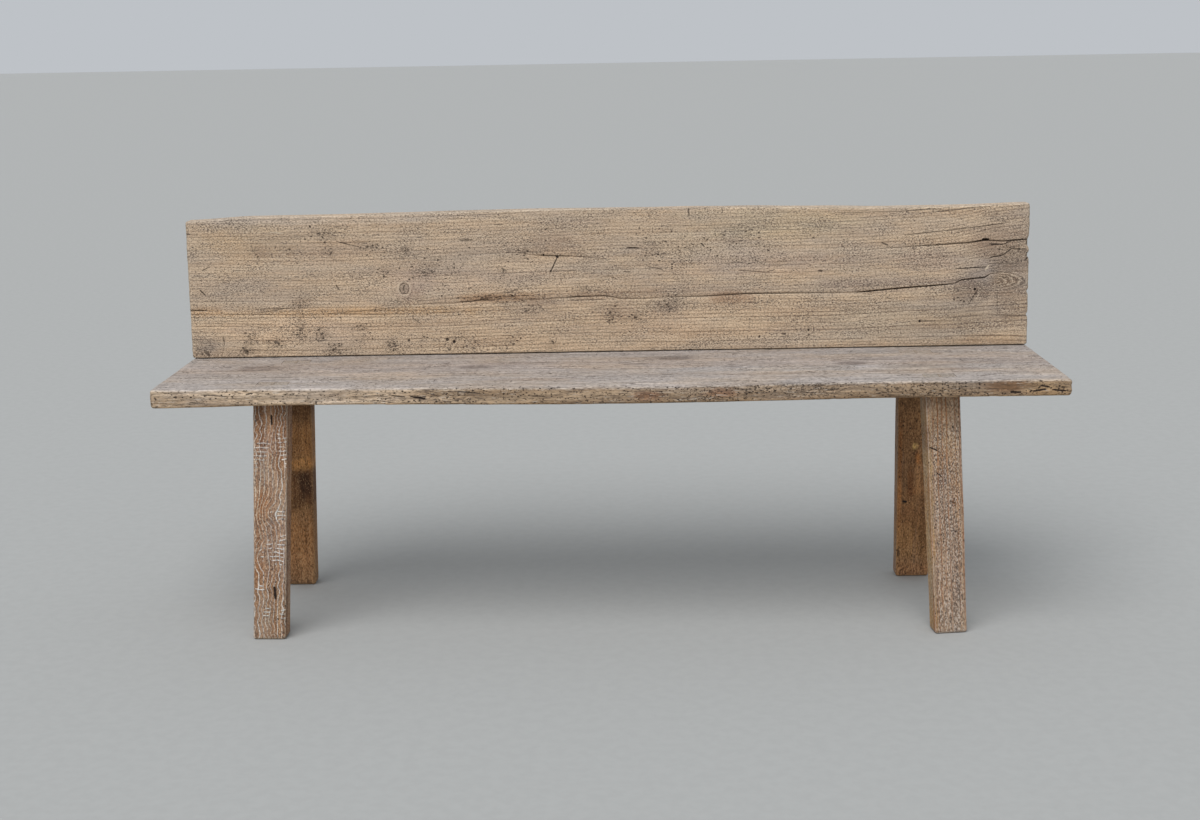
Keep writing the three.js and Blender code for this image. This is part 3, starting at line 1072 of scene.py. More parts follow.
def backrestRings(x, across, up, bend):
    # Growth rings about a pith above and in front of the plank. They are bent to run with the long
    # split and round the knots. The count is the distance from the pith over the spacing
    low = up * 0.1 / bend
    height = np.where(up < bend, low, 0.1 + (up - bend))
    height = height + 0.004 * layeredNoise(x / 0.3, across / 0.1, up / 0.06, 21)
    for knotX, knotUp, reachX, reachUp, push in backrest["ringBends"]:
        pull = bump(x, knotX, reachX) * bump(up, knotUp, reachUp)
        height = height - push * pull * np.tanh((up - knotUp) / (reachUp * 0.4))
    pithUp, pithIn = backrest["pith"]
    pithUp = pithUp + 0.01 * latticeNoise(x / 0.5, 0.5, 0.5, 5)
    pithIn = pithIn + 0.02 * latticeNoise(x / 0.7, 0.5, 0.5, 9)
    count = np.sqrt((height - pithUp) ** 2 + (across + pithIn) ** 2) / backrest["ringSpacing"]
    return count + 0.2 * layeredNoise(x / 0.14, across / 0.03, up / 0.025, 33, 2)


def makeBackrest():
    # The plank is worked upright, across its thickness and up its height, and then leaned back
    size = backrest
    half = size["length"] / 2
    t, inset, facing = sweepStations(-half, half, size["stations"], size["arris"])
    share = plankAlong(t, size["length"])
    top = size["heightLeft"] + (size["heightRight"] - size["heightLeft"]) * share
    top = top + size["crown"] * readShares(size["crownShares"], share)
    split, splitDepth, splitWide = splitTable(size["split"])(t)
    upper, upperDepth, upperWide = splitTable(size["upperSplit"])(t)
    split = split + 0.0005 * layeredNoise(t / 0.02, 0.5, 0.5, 3)
    rub = layeredNoise(t / 0.05, 0.3, 0.7, 11)
    topRadius = 0.0042 + 0.002 * rub
    radii = (topRadius, 0.005 + 0.002 * rub, 0.004, 0.003)
    frontLanes = []
    for middle, wide in ((split, splitWide), (upper, upperWide)):
        frontLanes += [middle - wide - size["lip"], middle - wide, middle]
        frontLanes += [middle + wide, middle + wide + size["lip"]]
    lines = {
        "front": (frontLanes, (42, 1, 1, 1, 1, 34, 1, 1, 1, 1, 32)),
        "top": ((), (12,)),
        "rear": ((), (72,)),
        "floor": ((), (6,)),
    }
    bounds = (0, size["thickness"], 0, top)
    loops, limits = sweep(t, inset, facing, bounds, radii, lines, 5)
    x, across, up, nx, na, nb = loops
    frontness = np.clip(-na, 0, 1)
    # Planing marks and soft hollows, always inwards
    depth = 0.0007 * (1 + layeredNoise(x / 0.17, across / 0.05, up / 0.04, 41))
    depth = depth + 0.0002 * (1 + layeredNoise(x / 0.03, across / 0.01, up / 0.006, 43, 2))
    pits = latticeNoise(x / 0.016, across / 0.006, up / 0.005, 47)
    patches = smoothStep(layeredNoise(x / 0.12, across / 0.05, up / 0.05, 49), -0.1, 0.5)
    depth = depth + 0.0009 * smoothStep(pits, 0.45, 0.8) * patches
    # The two long splits, as grooves between lines that follow them
    crack = np.zeros_like(x)
    for middle, deep, wide in ((split, splitDepth, splitWide), (upper, upperDepth, upperWide)):
        gap = np.abs(up - overLoops(middle, x)) / (overLoops(wide, x) + 0.0002)
        groove = overLoops(deep, x) * (1 - smoothStep(gap, 0.0, 1.6)) * frontness
        depth = depth + groove
        narrow = 1 - smoothStep(gap, 0.25, 1.3)
        crack = np.maximum(crack, frontness * narrow * smoothStep(overLoops(deep, x), 0.0002, 0.0022))
    # The torn stretch of the long split
    tornReach = plateau(x, *size["tornStretch"])
    tornMiddle = size["tornHeight"] + 0.003 * latticeNoise(x / 0.02, 0.5, 0.5, 55)
    tornUp = bump(up, tornMiddle, 0.009)
    torn = latticeNoise(x / 0.017, 0.5, up / 0.0015, 56) * 0.7 + tornReach * tornUp
    torn = smoothStep(torn, 0.95, 1.35) * frontness * (tornReach > 0)
    depth = depth + 0.0013 * torn
    crack = np.maximum(crack, 0.12 * torn)
    # A raised rim about the round knot
    for knotX, knotUp, reachX, reachUp, kind in size["knots"]:
        gap = np.hypot((x - knotX) / reachX, (up - knotUp) / reachUp)
        rim = 0.0006 * bump(gap, 0.45, 0.3) - 0.0005 * bump(gap, 1.0, 0.25)
        depth = depth + rim * frontness * (1 - kind)
    depth = np.maximum(depth, 0)
    # Dents along the top edge
    dents = smoothStep(latticeNoise(x / 0.022, 0.4, 0.2, 53), 0.35, 0.9)
    dents = dents + 0.6 * smoothStep(latticeNoise(x / 0.008, 0.4, across / 0.01, 54), 0.3, 0.8)
    depth = depth + 0.0016 * dents * bump(up, limits[3], 0.006) * (na < 0.2)
    # Ragged ends, with bites and nicks out of the right one
    endGap = half - np.abs(x)
    ragged = 0.0007 * (1 + layeredNoise(up / 0.008, across / 0.012, np.sign(x), 57))
    bite = sum(
        cut * bump(up, height, reach) * (x > 0) * (1 - smoothStep(across, *fades))
        for cut, height, reach, fades in size["bites"]
    )
    nick = size["nickDepth"] * sum(bump(up, height, reach) for height, reach in size["nicks"])
    nick = nick * (x > 0) * (across < size["thickness"] / 2)
    pull = (ragged + bite + nick) * (1 - smoothStep(endGap, 0.0, 0.035))
    wearAway = nx * 0.0002 * (1 + layeredNoise(x, across / 0.004, up / 0.004, 59))

    x0, across0, up0 = x.copy(), across.copy(), up.copy()
    x = x - np.sign(x) * pull - wearAway
    across = across - na * depth
    up = up - nb * depth

    lean = math.radians(size["leanDegrees"])
    y = seatEdgeAt(x, 1) - size["thickness"] + across + up * math.tan(lean)
    z = size["bottom"] + up * math.cos(lean)

    rings = backrestRings(x0, across0, up0, np.interp(x0, *np.transpose(size["ringPath"])))
    wear = edgeCloseness((x0, across0, up0), limits, (-half, half), 0.0045)
    grey = 0.16 * smoothStep(up0, 0.09, 0.13)
    grey = grey + 0.1 * layeredNoise(x0 / 0.25, across0 / 0.1, up0 / 0.06, 61)
    grey = grey + softSpots(size["greySpots"], x0, up0)
    # Growth lines stand out by the long split and about the knots
    under = overLoops(split, x) - up0
    figure = bump(under, 0.011, 0.009) * (1 - smoothStep(x0, -0.2, -0.12))
    figure = figure * smoothStep(under, 0, 0.002)
    figure = figure + softSpots(size["figureSpots"], x0, up0)
    figure = figure + 0.35 * smoothStep(0.095 - up0, 0, 0.02) + 0.3 * smoothStep(x0, 0.62, 0.7)
    grey = grey + 0.15 * (na > 0.5) + 0.22 * (nb > 0.5)
    stain = softSpots(backrestStains, x0, up0) * frontness
    fields = {
        "place": np.stack([x0, across0, up0], -1),
        "ring": rings,
        "wear": wear,
        "grey": grey,
        "crack": crack,
        "stain": np.clip(stain, 0, 1),
        "endGrain": np.abs(nx),
        "figure": np.clip(figure, 0, 1.3),
        "worm": np.clip(1.3 * stain, 0, 0.9),
        "tinge": patchField(backrestPatches, x0, up0, frontness, 63),
        **knotFields(size["knots"], x0, up0, na < -0.2),
        **markFields(backrestMarks, x0, up0, na < -0.2),
    }
    return sweptMesh("backrestPlank", np.stack([x, y, z], -1), fields, nodeBox("backrest_plank"))


# Dark, speckled patches of the backrest: place along, height, reach along, reach up, strength
backrestStains = (
    (-0.69, 0.208, 0.018, 0.009, 0.6),
    (-0.632, 0.210, 0.02, 0.008, 0.5),
    (-0.552, 0.236, 0.03, 0.01, 0.5),
    (-0.544, 0.203, 0.014, 0.012, 0.5),
    (-0.465, 0.212, 0.03, 0.014, 0.5),
    (-0.602, 0.104, 0.018, 0.008, 0.6),
    (-0.79, 0.02, 0.025, 0.018, 0.3),
    (-0.714, 0.012, 0.012, 0.01, 0.6),
    (-0.703, 0.034, 0.016, 0.018, 0.7),
    (-0.654, 0.028, 0.018, 0.014, 0.7),
    (-0.603, 0.049, 0.01, 0.02, 0.6),
    (-0.564, 0.043, 0.014, 0.014, 0.6),
    (-0.538, 0.016, 0.022, 0.012, 0.7),
    (-0.49, 0.053, 0.02, 0.012, 0.6),
    (-0.488, 0.025, 0.014, 0.01, 0.5),
    (-0.427, 0.02, 0.014, 0.016, 0.6),
    (-0.366, 0.024, 0.012, 0.016, 0.5),
    (-0.266, 0.018, 0.02, 0.012, 0.4),
    (-0.189, 0.02, 0.02, 0.014, 0.4),
    (-0.111, 0.019, 0.012, 0.012, 0.5),
    (0.006, 0.072, 0.014, 0.02, 0.6),
    (-0.392, 0.208, 0.014, 0.012, 0.5),
    (-0.312, 0.16, 0.03, 0.012, 0.25),
    (-0.438, 0.164, 0.02, 0.01, 0.6),
    (-0.356, 0.161, 0.016, 0.012, 0.5),
    (-0.162, 0.194, 0.03, 0.01, 0.5),
    (-0.202, 0.161, 0.014, 0.008, 0.4),
    (-0.048, 0.123, 0.02, 0.008, 0.5),
    (-0.303, 0.086, 0.02, 0.006, 0.4),
    (-0.235, 0.111, 0.05, 0.007, 0.7),
    (-0.17, 0.104, 0.03, 0.007, 0.4),
    (-0.15, 0.085, 0.025, 0.01, 0.6),
    (0.116, 0.093, 0.035, 0.018, 0.6),
    (0.048, 0.064, 0.02, 0.012, 0.5),
    (0.69, 0.103, 0.025, 0.022, 0.32),
    (-0.3, 0.175, 0.09, 0.03, 0.2),
    (0.12, 0.2, 0.12, 0.03, 0.3),
    (0.32, 0.19, 0.07, 0.05, 0.1),
    (0.78, 0.17, 0.04, 0.03, 0.4),
)


# Colour patches of the front: place along, height, reach along, reach up, and what the wood's
# colour is multiplied by
backrestPatches = (
    (-0.7, 0.225, 0.13, 0.035, (0.96, 0.92, 0.86)),
    (-0.55, 0.268, 0.32, 0.013, (1.04, 1.09, 1.18)),
    (-0.672, 0.207, 0.018, 0.012, (0.86, 0.84, 0.85)),
    (-0.54, 0.205, 0.1, 0.03, (0.93, 0.91, 0.91)),
    (-0.62, 0.055, 0.19, 0.028, (1.06, 1.03, 1.0)),
    (-0.5, 0.087, 0.3, 0.01, (1.02, 0.92, 0.78)),
    (-0.79, 0.09, 0.04, 0.012, (1.0, 0.88, 0.74)),
    (-0.602, 0.106, 0.03, 0.012, (0.8, 0.77, 0.76)),
    (-0.375, 0.15, 0.05, 0.03, (0.9, 0.88, 0.9)),
    (-0.385, 0.122, 0.032, 0.016, (0.86, 0.82, 0.84)),
    (-0.21, 0.112, 0.12, 0.01, (0.9, 0.83, 0.77)),
    (-0.13, 0.1, 0.04, 0.012, (0.8, 0.76, 0.74)),
    (0.03, 0.112, 0.16, 0.01, (0.8, 0.76, 0.74)),
    (-0.1, 0.215, 0.06, 0.03, (0.88, 0.85, 0.84)),
    (0.07, 0.195, 0.035, 0.02, (0.87, 0.86, 0.87)),
    (0.02, 0.078, 0.05, 0.02, (0.85, 0.83, 0.84)),
    (0.11, 0.082, 0.035, 0.018, (0.84, 0.82, 0.84)),
    (0.235, 0.103, 0.05, 0.018, (0.78, 0.7, 0.66)),
    (0.1, 0.045, 0.1, 0.025, (1.06, 1.03, 1.0)),
    (0.33, 0.245, 0.2, 0.035, (1.03, 1.02, 0.94)),
    (0.3, 0.17, 0.2, 0.03, (0.96, 0.95, 0.98)),
    (0.59, 0.128, 0.16, 0.009, (0.84, 0.82, 0.84)),
    (0.46, 0.125, 0.05, 0.012, (0.82, 0.8, 0.82)),
    (0.62, 0.17, 0.07, 0.025, (0.92, 0.9, 0.93)),
    (0.76, 0.215, 0.08, 0.03, (0.84, 0.82, 0.82)),
    (0.735, 0.19, 0.035, 0.02, (0.8, 0.77, 0.77)),
    (0.79, 0.17, 0.05, 0.03, (0.84, 0.81, 0.78)),
    (0.7, 0.11, 0.05, 0.026, (0.81, 0.78, 0.77)),
    (0.75, 0.115, 0.06, 0.02, (0.82, 0.78, 0.76)),
    (0.77, 0.127, 0.035, 0.016, (0.9, 0.8, 0.68)),
    (0.8, 0.08, 0.04, 0.05, (0.9, 0.87, 0.84)),
    (0.68, 0.05, 0.1, 0.025, (0.95, 0.91, 0.86)),
    (0.745, 0.012, 0.09, 0.014, (0.86, 0.8, 0.74)),
    (-0.79, 0.018, 0.035, 0.025, (0.86, 0.86, 0.88)),
    (0.78, 0.15, 0.09, 0.14, (0.86, 0.86, 0.89)),
    (0.6, 0.05, 0.25, 0.06, (0.85, 0.89, 0.94)),
    (-0.22, 0.108, 0.08, 0.011, (0.82, 0.76, 0.71)),
    (-0.58, 0.05, 0.15, 0.05, (1.09, 1.1, 1.12)),
    (0.3, 0.21, 0.3, 0.06, (0.99, 1.02, 1.06)),
    (-0.3, 0.15, 0.24, 0.035, (1.06, 1.06, 1.08)),
)


# Marks on the front in millimetres: along and up at both ends, width, and tone: dark above 0
backrestMarks = (
    (-655, 245, -630, 242, 1.6, -0.7),
    (-524, 224, -501, 218, 1.3, 0.8),
    (-501, 218, -472, 210, 0.9, 0.6),
    (-577, 254, -577, 254, 3.0, 0.8),
    (-819, 244, -812, 243, 1.6, 0.8),
    (-797, 134, -788, 125, 1.8, 0.8),
    (-791, 172, -777, 179, 1.5, 0.6),
    (-531, 140, -525, 130, 1.8, 0.7),
    (-687, 87, -635, 95, 1.0, 0.6),
    (-551, 84, -488, 88, 1.0, 0.5),
    (-488, 88, -417, 94, 1.0, 0.5),
    (-756, 42, -755, 26, 1.3, 0.6),
    (-794, 14, -786, 6, 4.0, 0.6),
    (-717, 17, -710, 7, 4.0, 0.5),
    (-457, 88, -457, 88, 2.6, 0.8),
    (-288, 223, -261, 223, 1.4, 0.8),
    (-219, 252, -201, 252, 1.3, 0.6),
    (-174, 198, -127, 197, 0.9, 0.5),
    (-98, 187, -111, 160, 1.5, 0.9),
    (-99, 188, -97, 187, 3.0, 1.0),
    (-111, 160, -111, 160, 2.8, 1.0),
    (-125, 192, -125, 192, 2.6, 1.0),
    (-67, 188, -5, 183, 0.9, 0.5),
    (-109, 160, -62, 160, 0.8, 0.4),
    (-139, 122, -104, 144, 0.9, 0.5),
    (-384, 73, -366, 60, 1.2, 0.5),
    (-392, 29, -392, 29, 4.0, 0.8),
    (-317, 29, -317, 30, 4.4, 0.9),
    (-303, 25, -304, 25, 4.2, 1.0),
    (-315, 9, -312, 9, 3.0, 0.7),
    (-188, 32, -188, 32, 2.6, 0.7),
    (-173, 29, -173, 29, 2.8, 0.8),
    (-109, 19, -109, 19, 3.0, 0.7),
    (-44, 281, -56, 266, 1.4, -0.5),
    (-30, 281, -40, 268, 1.2, -0.4),
    (158, 282, 159, 262, 1.6, 0.7),
    (190, 281, 190, 273, 1.3, 0.6),
    (222, 282, 224, 269, 1.3, 0.6),
    (38, 203, 61, 202, 1.8, 0.9),
    (31, 156, 44, 156, 1.3, 0.6),
    (10, 145, 10, 145, 2.2, 0.7),
    (182, 209, 188, 203, 1.8, 0.8),
    (78, 165, 92, 163, 1.5, 0.6),
    (92, 163, 107, 159, 1.5, 0.6),
    (-79, 102, -6, 103, 1.0, 0.6),
    (-290, 103, -262, 104, 1.2, 0.6),
    (-262, 105, -250, 106, 1.1, 0.6),
    (-246, 108, -232, 109, 1.2, 0.6),
    (-241, 114, -228, 114, 1.0, 0.6),
    (-233, 104, -222, 105, 1.0, 0.5),
    (-222, 115, -206, 117, 1.2, 0.7),
    (-217, 108, -200, 109, 1.1, 0.6),
    (-201, 119, -187, 121, 1.0, 0.6),
    (-197, 112, -182, 112, 1.2, 0.7),
    (-190, 123, -176, 124, 1.2, 0.6),
    (-181, 106, -170, 104, 1.1, 0.6),
    (-168, 113, -156, 113, 1.2, 0.6),
    (-215, 99, -198, 99, 1.1, 0.5),
    (-139, 97, -124, 82, 1.1, 0.5),
    (2, 61, 2, 61, 2.8, 0.8),
    (295, 25, 295, 25, 3.0, 0.9),
    (340, 30, 346, 29, 2.4, 0.7),
    (391, 36, 391, 36, 3.0, 0.9),
    (392, 27, 392, 27, 2.6, 0.8),
    (255, 155, 310, 151, 1.1, 0.7),
    (310, 151, 325, 156, 1.0, 0.6),
    (403, 237, 436, 236, 1.2, 0.4),
    (430, 263, 577, 264, 1.0, 0.4),
    (577, 265, 636, 268, 1.2, 0.6),
    (636, 262, 733, 271, 1.2, 0.6),
    (577, 218, 648, 225, 1.2, 0.6),
    (648, 225, 702, 230, 1.0, 0.6),
    (702, 230, 770, 238, 1.3, 0.7),
    (741, 198, 768, 197, 1.6, 1.0),
    (768, 197, 785, 203, 1.4, 0.7),
    (783, 189, 815, 186, 1.3, 0.7),
    (740, 160, 800, 160, 1.1, 0.5),
    (676, 151, 736, 154, 1.5, 0.9),
    (741, 157, 735, 148, 2.4, -0.8),
    (743, 172, 768, 176, 1.6, 0.9),
    (768, 176, 784, 188, 1.5, 0.8),
    (758, 167, 812, 166, 1.4, 0.8),
    (812, 166, 820, 172, 1.6, 0.8),
    (715, 112, 715, 110, 3.2, 1.0),
    (729, 207, 739, 207, 3.4, 1.0),
    (722, 112, 704, 82, 1.0, 0.7),
    (728, 109, 716, 88, 0.9, -0.7),
    (608, 50, 608, 50, 3.4, 1.0),
    (608, 50, 640, 50, 1.2, 0.7),
    (661, 55, 741, 60, 1.0, 0.5),
    (741, 60, 823, 57, 1.2, 0.6),
    (533, 204, 545, 199, 2.0, 0.7),
    (411, 152, 417, 151, 2.6, 0.7),
    (759, 108, 760, 61, 1.2, 0.35),
)

backrestLook = {
    **timber,
    "knotty": True,
    "streak": 0.13,
    "gritAmount": 0.64,
    "gritDark": 0.85,
    "gritPale": 0.7,
}

backrestPiece = makeBackrest()
backrestPiece.data.materials.append(weatheredWood("backrestTimber", backrestLook, 3))
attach(backrestPiece, "root")
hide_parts("backrest_plank")


# The legs, each a splayed post with a tenon through the seat

legShape = {
    "arris": 0.004,
    "footArris": 0.005,
    "loops": 200,
    "acrossLines": 34,
    "deepLines": 18,
    "tenonDrop": 0.0004,
    # Between which heights the shoulder under the seat is looked for
    "shoulderWithin": (0.4, 0.436),
    "levelMargin": 0.00008,
}


def turnMatrix(turn):
    # x cos - y sin and x sin + y cos
    return np.array(((math.cos(turn), -math.sin(turn)), (math.sin(turn), math.cos(turn))))


def levelBox(points, z, turn=0.0):
    # Bounds in Y and X of a node's points at one height, once a turn about their middle is undone
    level = points[np.abs(points[:, 2] - z) < legShape["levelMargin"]][:, :2]
    middle = (level.min(0) + level.max(0)) / 2
    level = middle + (level - middle) @ turnMatrix(turn)
    return level[:, 1].min(), level[:, 1].max(), level[:, 0].min(), level[:, 0].max()


def legLevels(node):
    # A leg's points, and the heights of its lowest loop above the floor, its shoulder and its end
    points = np.array([v.co[:] for v in frame["nodes"][node].data.vertices])
    heights = np.unique(np.round(points[:, 2], 4))
    low, high = legShape["shoulderWithin"]
    shoulder = heights[(heights > low) & (heights < high)][0]
    return points, heights[1], shoulder, points[:, 2].max()


def makeLeg(leg, seed):
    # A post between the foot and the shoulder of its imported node, with the tenon above
    name, node, ringField, ridge = leg["name"], leg["node"], leg["rings"], leg["ridge"]
    points, lowLevel, shoulder, tenonTop = legLevels(node)
    turn = math.radians(leg["turnDegrees"])
    low = np.array(levelBox(points, lowLevel, turn))
    high = np.array(levelBox(points, shoulder, turn))
    tenon = np.array(levelBox(points, tenonTop))
    arris = legShape["footArris"]
    roll = np.radians([90, 60, 30])
    body = np.linspace(arris, shoulder, legShape["loops"])
    neck = [shoulder, shoulder + 0.002, tenonTop - 0.001, tenonTop]
    z = np.concatenate([arris * (1 - np.sin(roll)), body, neck])
    share = (z - lowLevel) / (shoulder - lowLevel)
    box = low[:, None] + (high - low)[:, None] * share
    onTenon = np.arange(len(z)) >= len(z) - 4
    centre = np.stack([(box[side] + box[side + 1]) / 2 for side in (0, 0, 2, 2)])
    tenonDeep, tenonWide = tenon[1] - tenon[0], tenon[3] - tenon[2]
    tenonHalf = np.array([-tenonDeep, tenonDeep, -tenonWide, tenonWide]) / 2
    box = np.where(onTenon, centre + tenonHalf[:, None], box)
    inset = np.zeros(len(z))
    inset[:3] = arris * (1 - np.cos(roll))
    inset[-1] = 0.0006
    facing = np.zeros(len(z))
    facing[:3] = -np.sin(roll)
    facing[-1] = 0.7
    rub = [latticeNoise(z / 0.06, 0.5 + corner, 0.5, seed + corner) for corner in range(4)]
    radii = [np.where(onTenon, 0.0015, legShape["arris"] + 0.0018 * r) for r in rub]
    across, deep = legShape["acrossLines"], legShape["deepLines"]
    counts = {"front": across, "top": deep, "rear": across, "floor": deep}
    lines = {side: ((), (count,)) for side, count in counts.items()}
    loops, limits = sweep(z, inset, facing, box, radii, lines, 4, (0.25, 0.5, 0.75, 0.92))
    t, a, b, nt, na, nb = loops
    onBody = (t < shoulder - 0.0005) & (np.abs(nt) < 0.5)
    centreA = (limits[0] + limits[1]) / 2
    centreB = (limits[2] + limits[3]) / 2
    localA, localB = a - centreA, b - centreB
    rings = ringField(t, localA, localB)
    part = rings - np.floor(rings)
    depth = 0.0006 * (1 + layeredNoise(t / 0.09, localA / 0.03, localB / 0.03, seed + 7))
    depth = depth + ridge * (1 - smoothStep(part, 0.25, 0.7) + smoothStep(part, 0.85, 1.0))
    chips = smoothStep(latticeNoise(t / 0.02, localA / 0.02, localB / 0.02, seed + 13), 0.5, 0.9)
    edges = edgeCloseness((t, a, b), limits, (-0.001, 1.0), 0.004)
    footEdges = edgeCloseness((t, a, b), limits, (0.0, 1.0), 0.006)
    depth = (depth + 0.0018 * chips * edges) * onBody
    foot = 0.0006 * (1 + latticeNoise(t / 0.01, localA / 0.008, localB / 0.008, seed + 19))
    foot = foot * (t < 0.004) * (nt > -0.99)
    drop = legShape["tenonDrop"] + 0.0002 * layeredNoise(t, localA / 0.006, localB / 0.004, seed)
    drop = np.where(nt > 0.5, drop, 0)
    spots = np.stack([b - nb * depth, a - na * depth, t - drop + foot * 0.5], -1)
    middle = np.stack([centreB, centreA], -1)
    swung = middle + (spots[..., :2] - middle) @ turnMatrix(turn).T
    spots[..., :2] = np.where((t <= shoulder)[..., None], swung, spots[..., :2])
    ladders = softSpots(leg.get("ladders", ()), t, localB)
    grey = 0.12 * layeredNoise(t / 0.1, localA / 0.05, localB / 0.05, seed + 23) + 1.2 * (t > shoulder)
    grey = grey + leg.get("greySides", 0) * smoothStep(na, -0.6, -0.2)
    calmer = leg.get("calmEdges", 0) * smoothStep(np.abs(localB), 0.019, 0.029)
    calmer = calmer * (0.5 + 0.5 * np.abs(na))
    calmer = np.maximum(calmer, leg.get("calmTop", 0) * smoothStep(t, 0.33, 0.4))
    quiet = leg.get("quietSides", 0) * smoothStep(na, -0.7, -0.3)
    fields = {
        "place": np.stack([t, localA + 0.05 * seed, localB], -1),
        "ring": rings,
        "wear": np.maximum(edges, footEdges * (t < 0.01)),
        "grey": grey,
        "crack": np.zeros_like(t),
        "stain": 0.25 * smoothStep(0.02 - t, 0, 0.02),
        "endGrain": np.where(t > shoulder, 0.25, smoothStep(np.abs(nt), 0.6, 0.9)),
        "figure": ladders * (na < -0.6) + calmer - quiet,
        "worm": np.full(t.shape, leg["worm"]),
        "tinge": patchField(leg["patches"], t, localB, na < 0.3, seed + 29),
        **markFields(leg["marks"], t, localB, na < -0.5, layers=1),
    }
    return sweptMesh(name, spots, fields, nodeBox(node))


def straightRings(spacing, pithA, pithB, seed, waver=0.5):
    # Rings about a pith that runs beside the leg, wavering a little along it
    def field(t, a, b):
        gapA = a - pithA + 0.004 * latticeNoise(t / 0.2, 0.5, 0.5, seed)
        count = np.hypot(gapA, b - pithB) / spacing
        return count + waver * layeredNoise(t / 0.08, a / 0.03, b / 0.03, seed + 1, 2)

    return field


def wavyRings(spacing, seed):
    # A face cut along the rings, so that they show as lines that wander along the leg and close
    # in an arch in two places
    def field(t, a, b):
        count = (b + 0.6 * a) / spacing + 1.1 * layeredNoise(t / 0.07, a / 0.05, b / 0.04, seed, 2)
        count = count + 0.4 * latticeNoise(t / 0.011, a / 0.02, b / 0.016, seed + 1)
        upper = bump(t, 0.235, 0.028) * bump(b, -0.006, 0.02)
        lower = 0.8 * bump(t, 0.15, 0.022) * bump(b, -0.022, 0.014)
        return count + 2.2 * (upper + lower)

    return field


rearLook = {
    "gritDark": 0.62,
    "gritPale": 0.5,
    "gritLength": 0.005,
    "gritWidth": 0.0022,
    "speckAmount": 0.5,
    "lineStrength": 0.3,
    "band": 0.06,
}

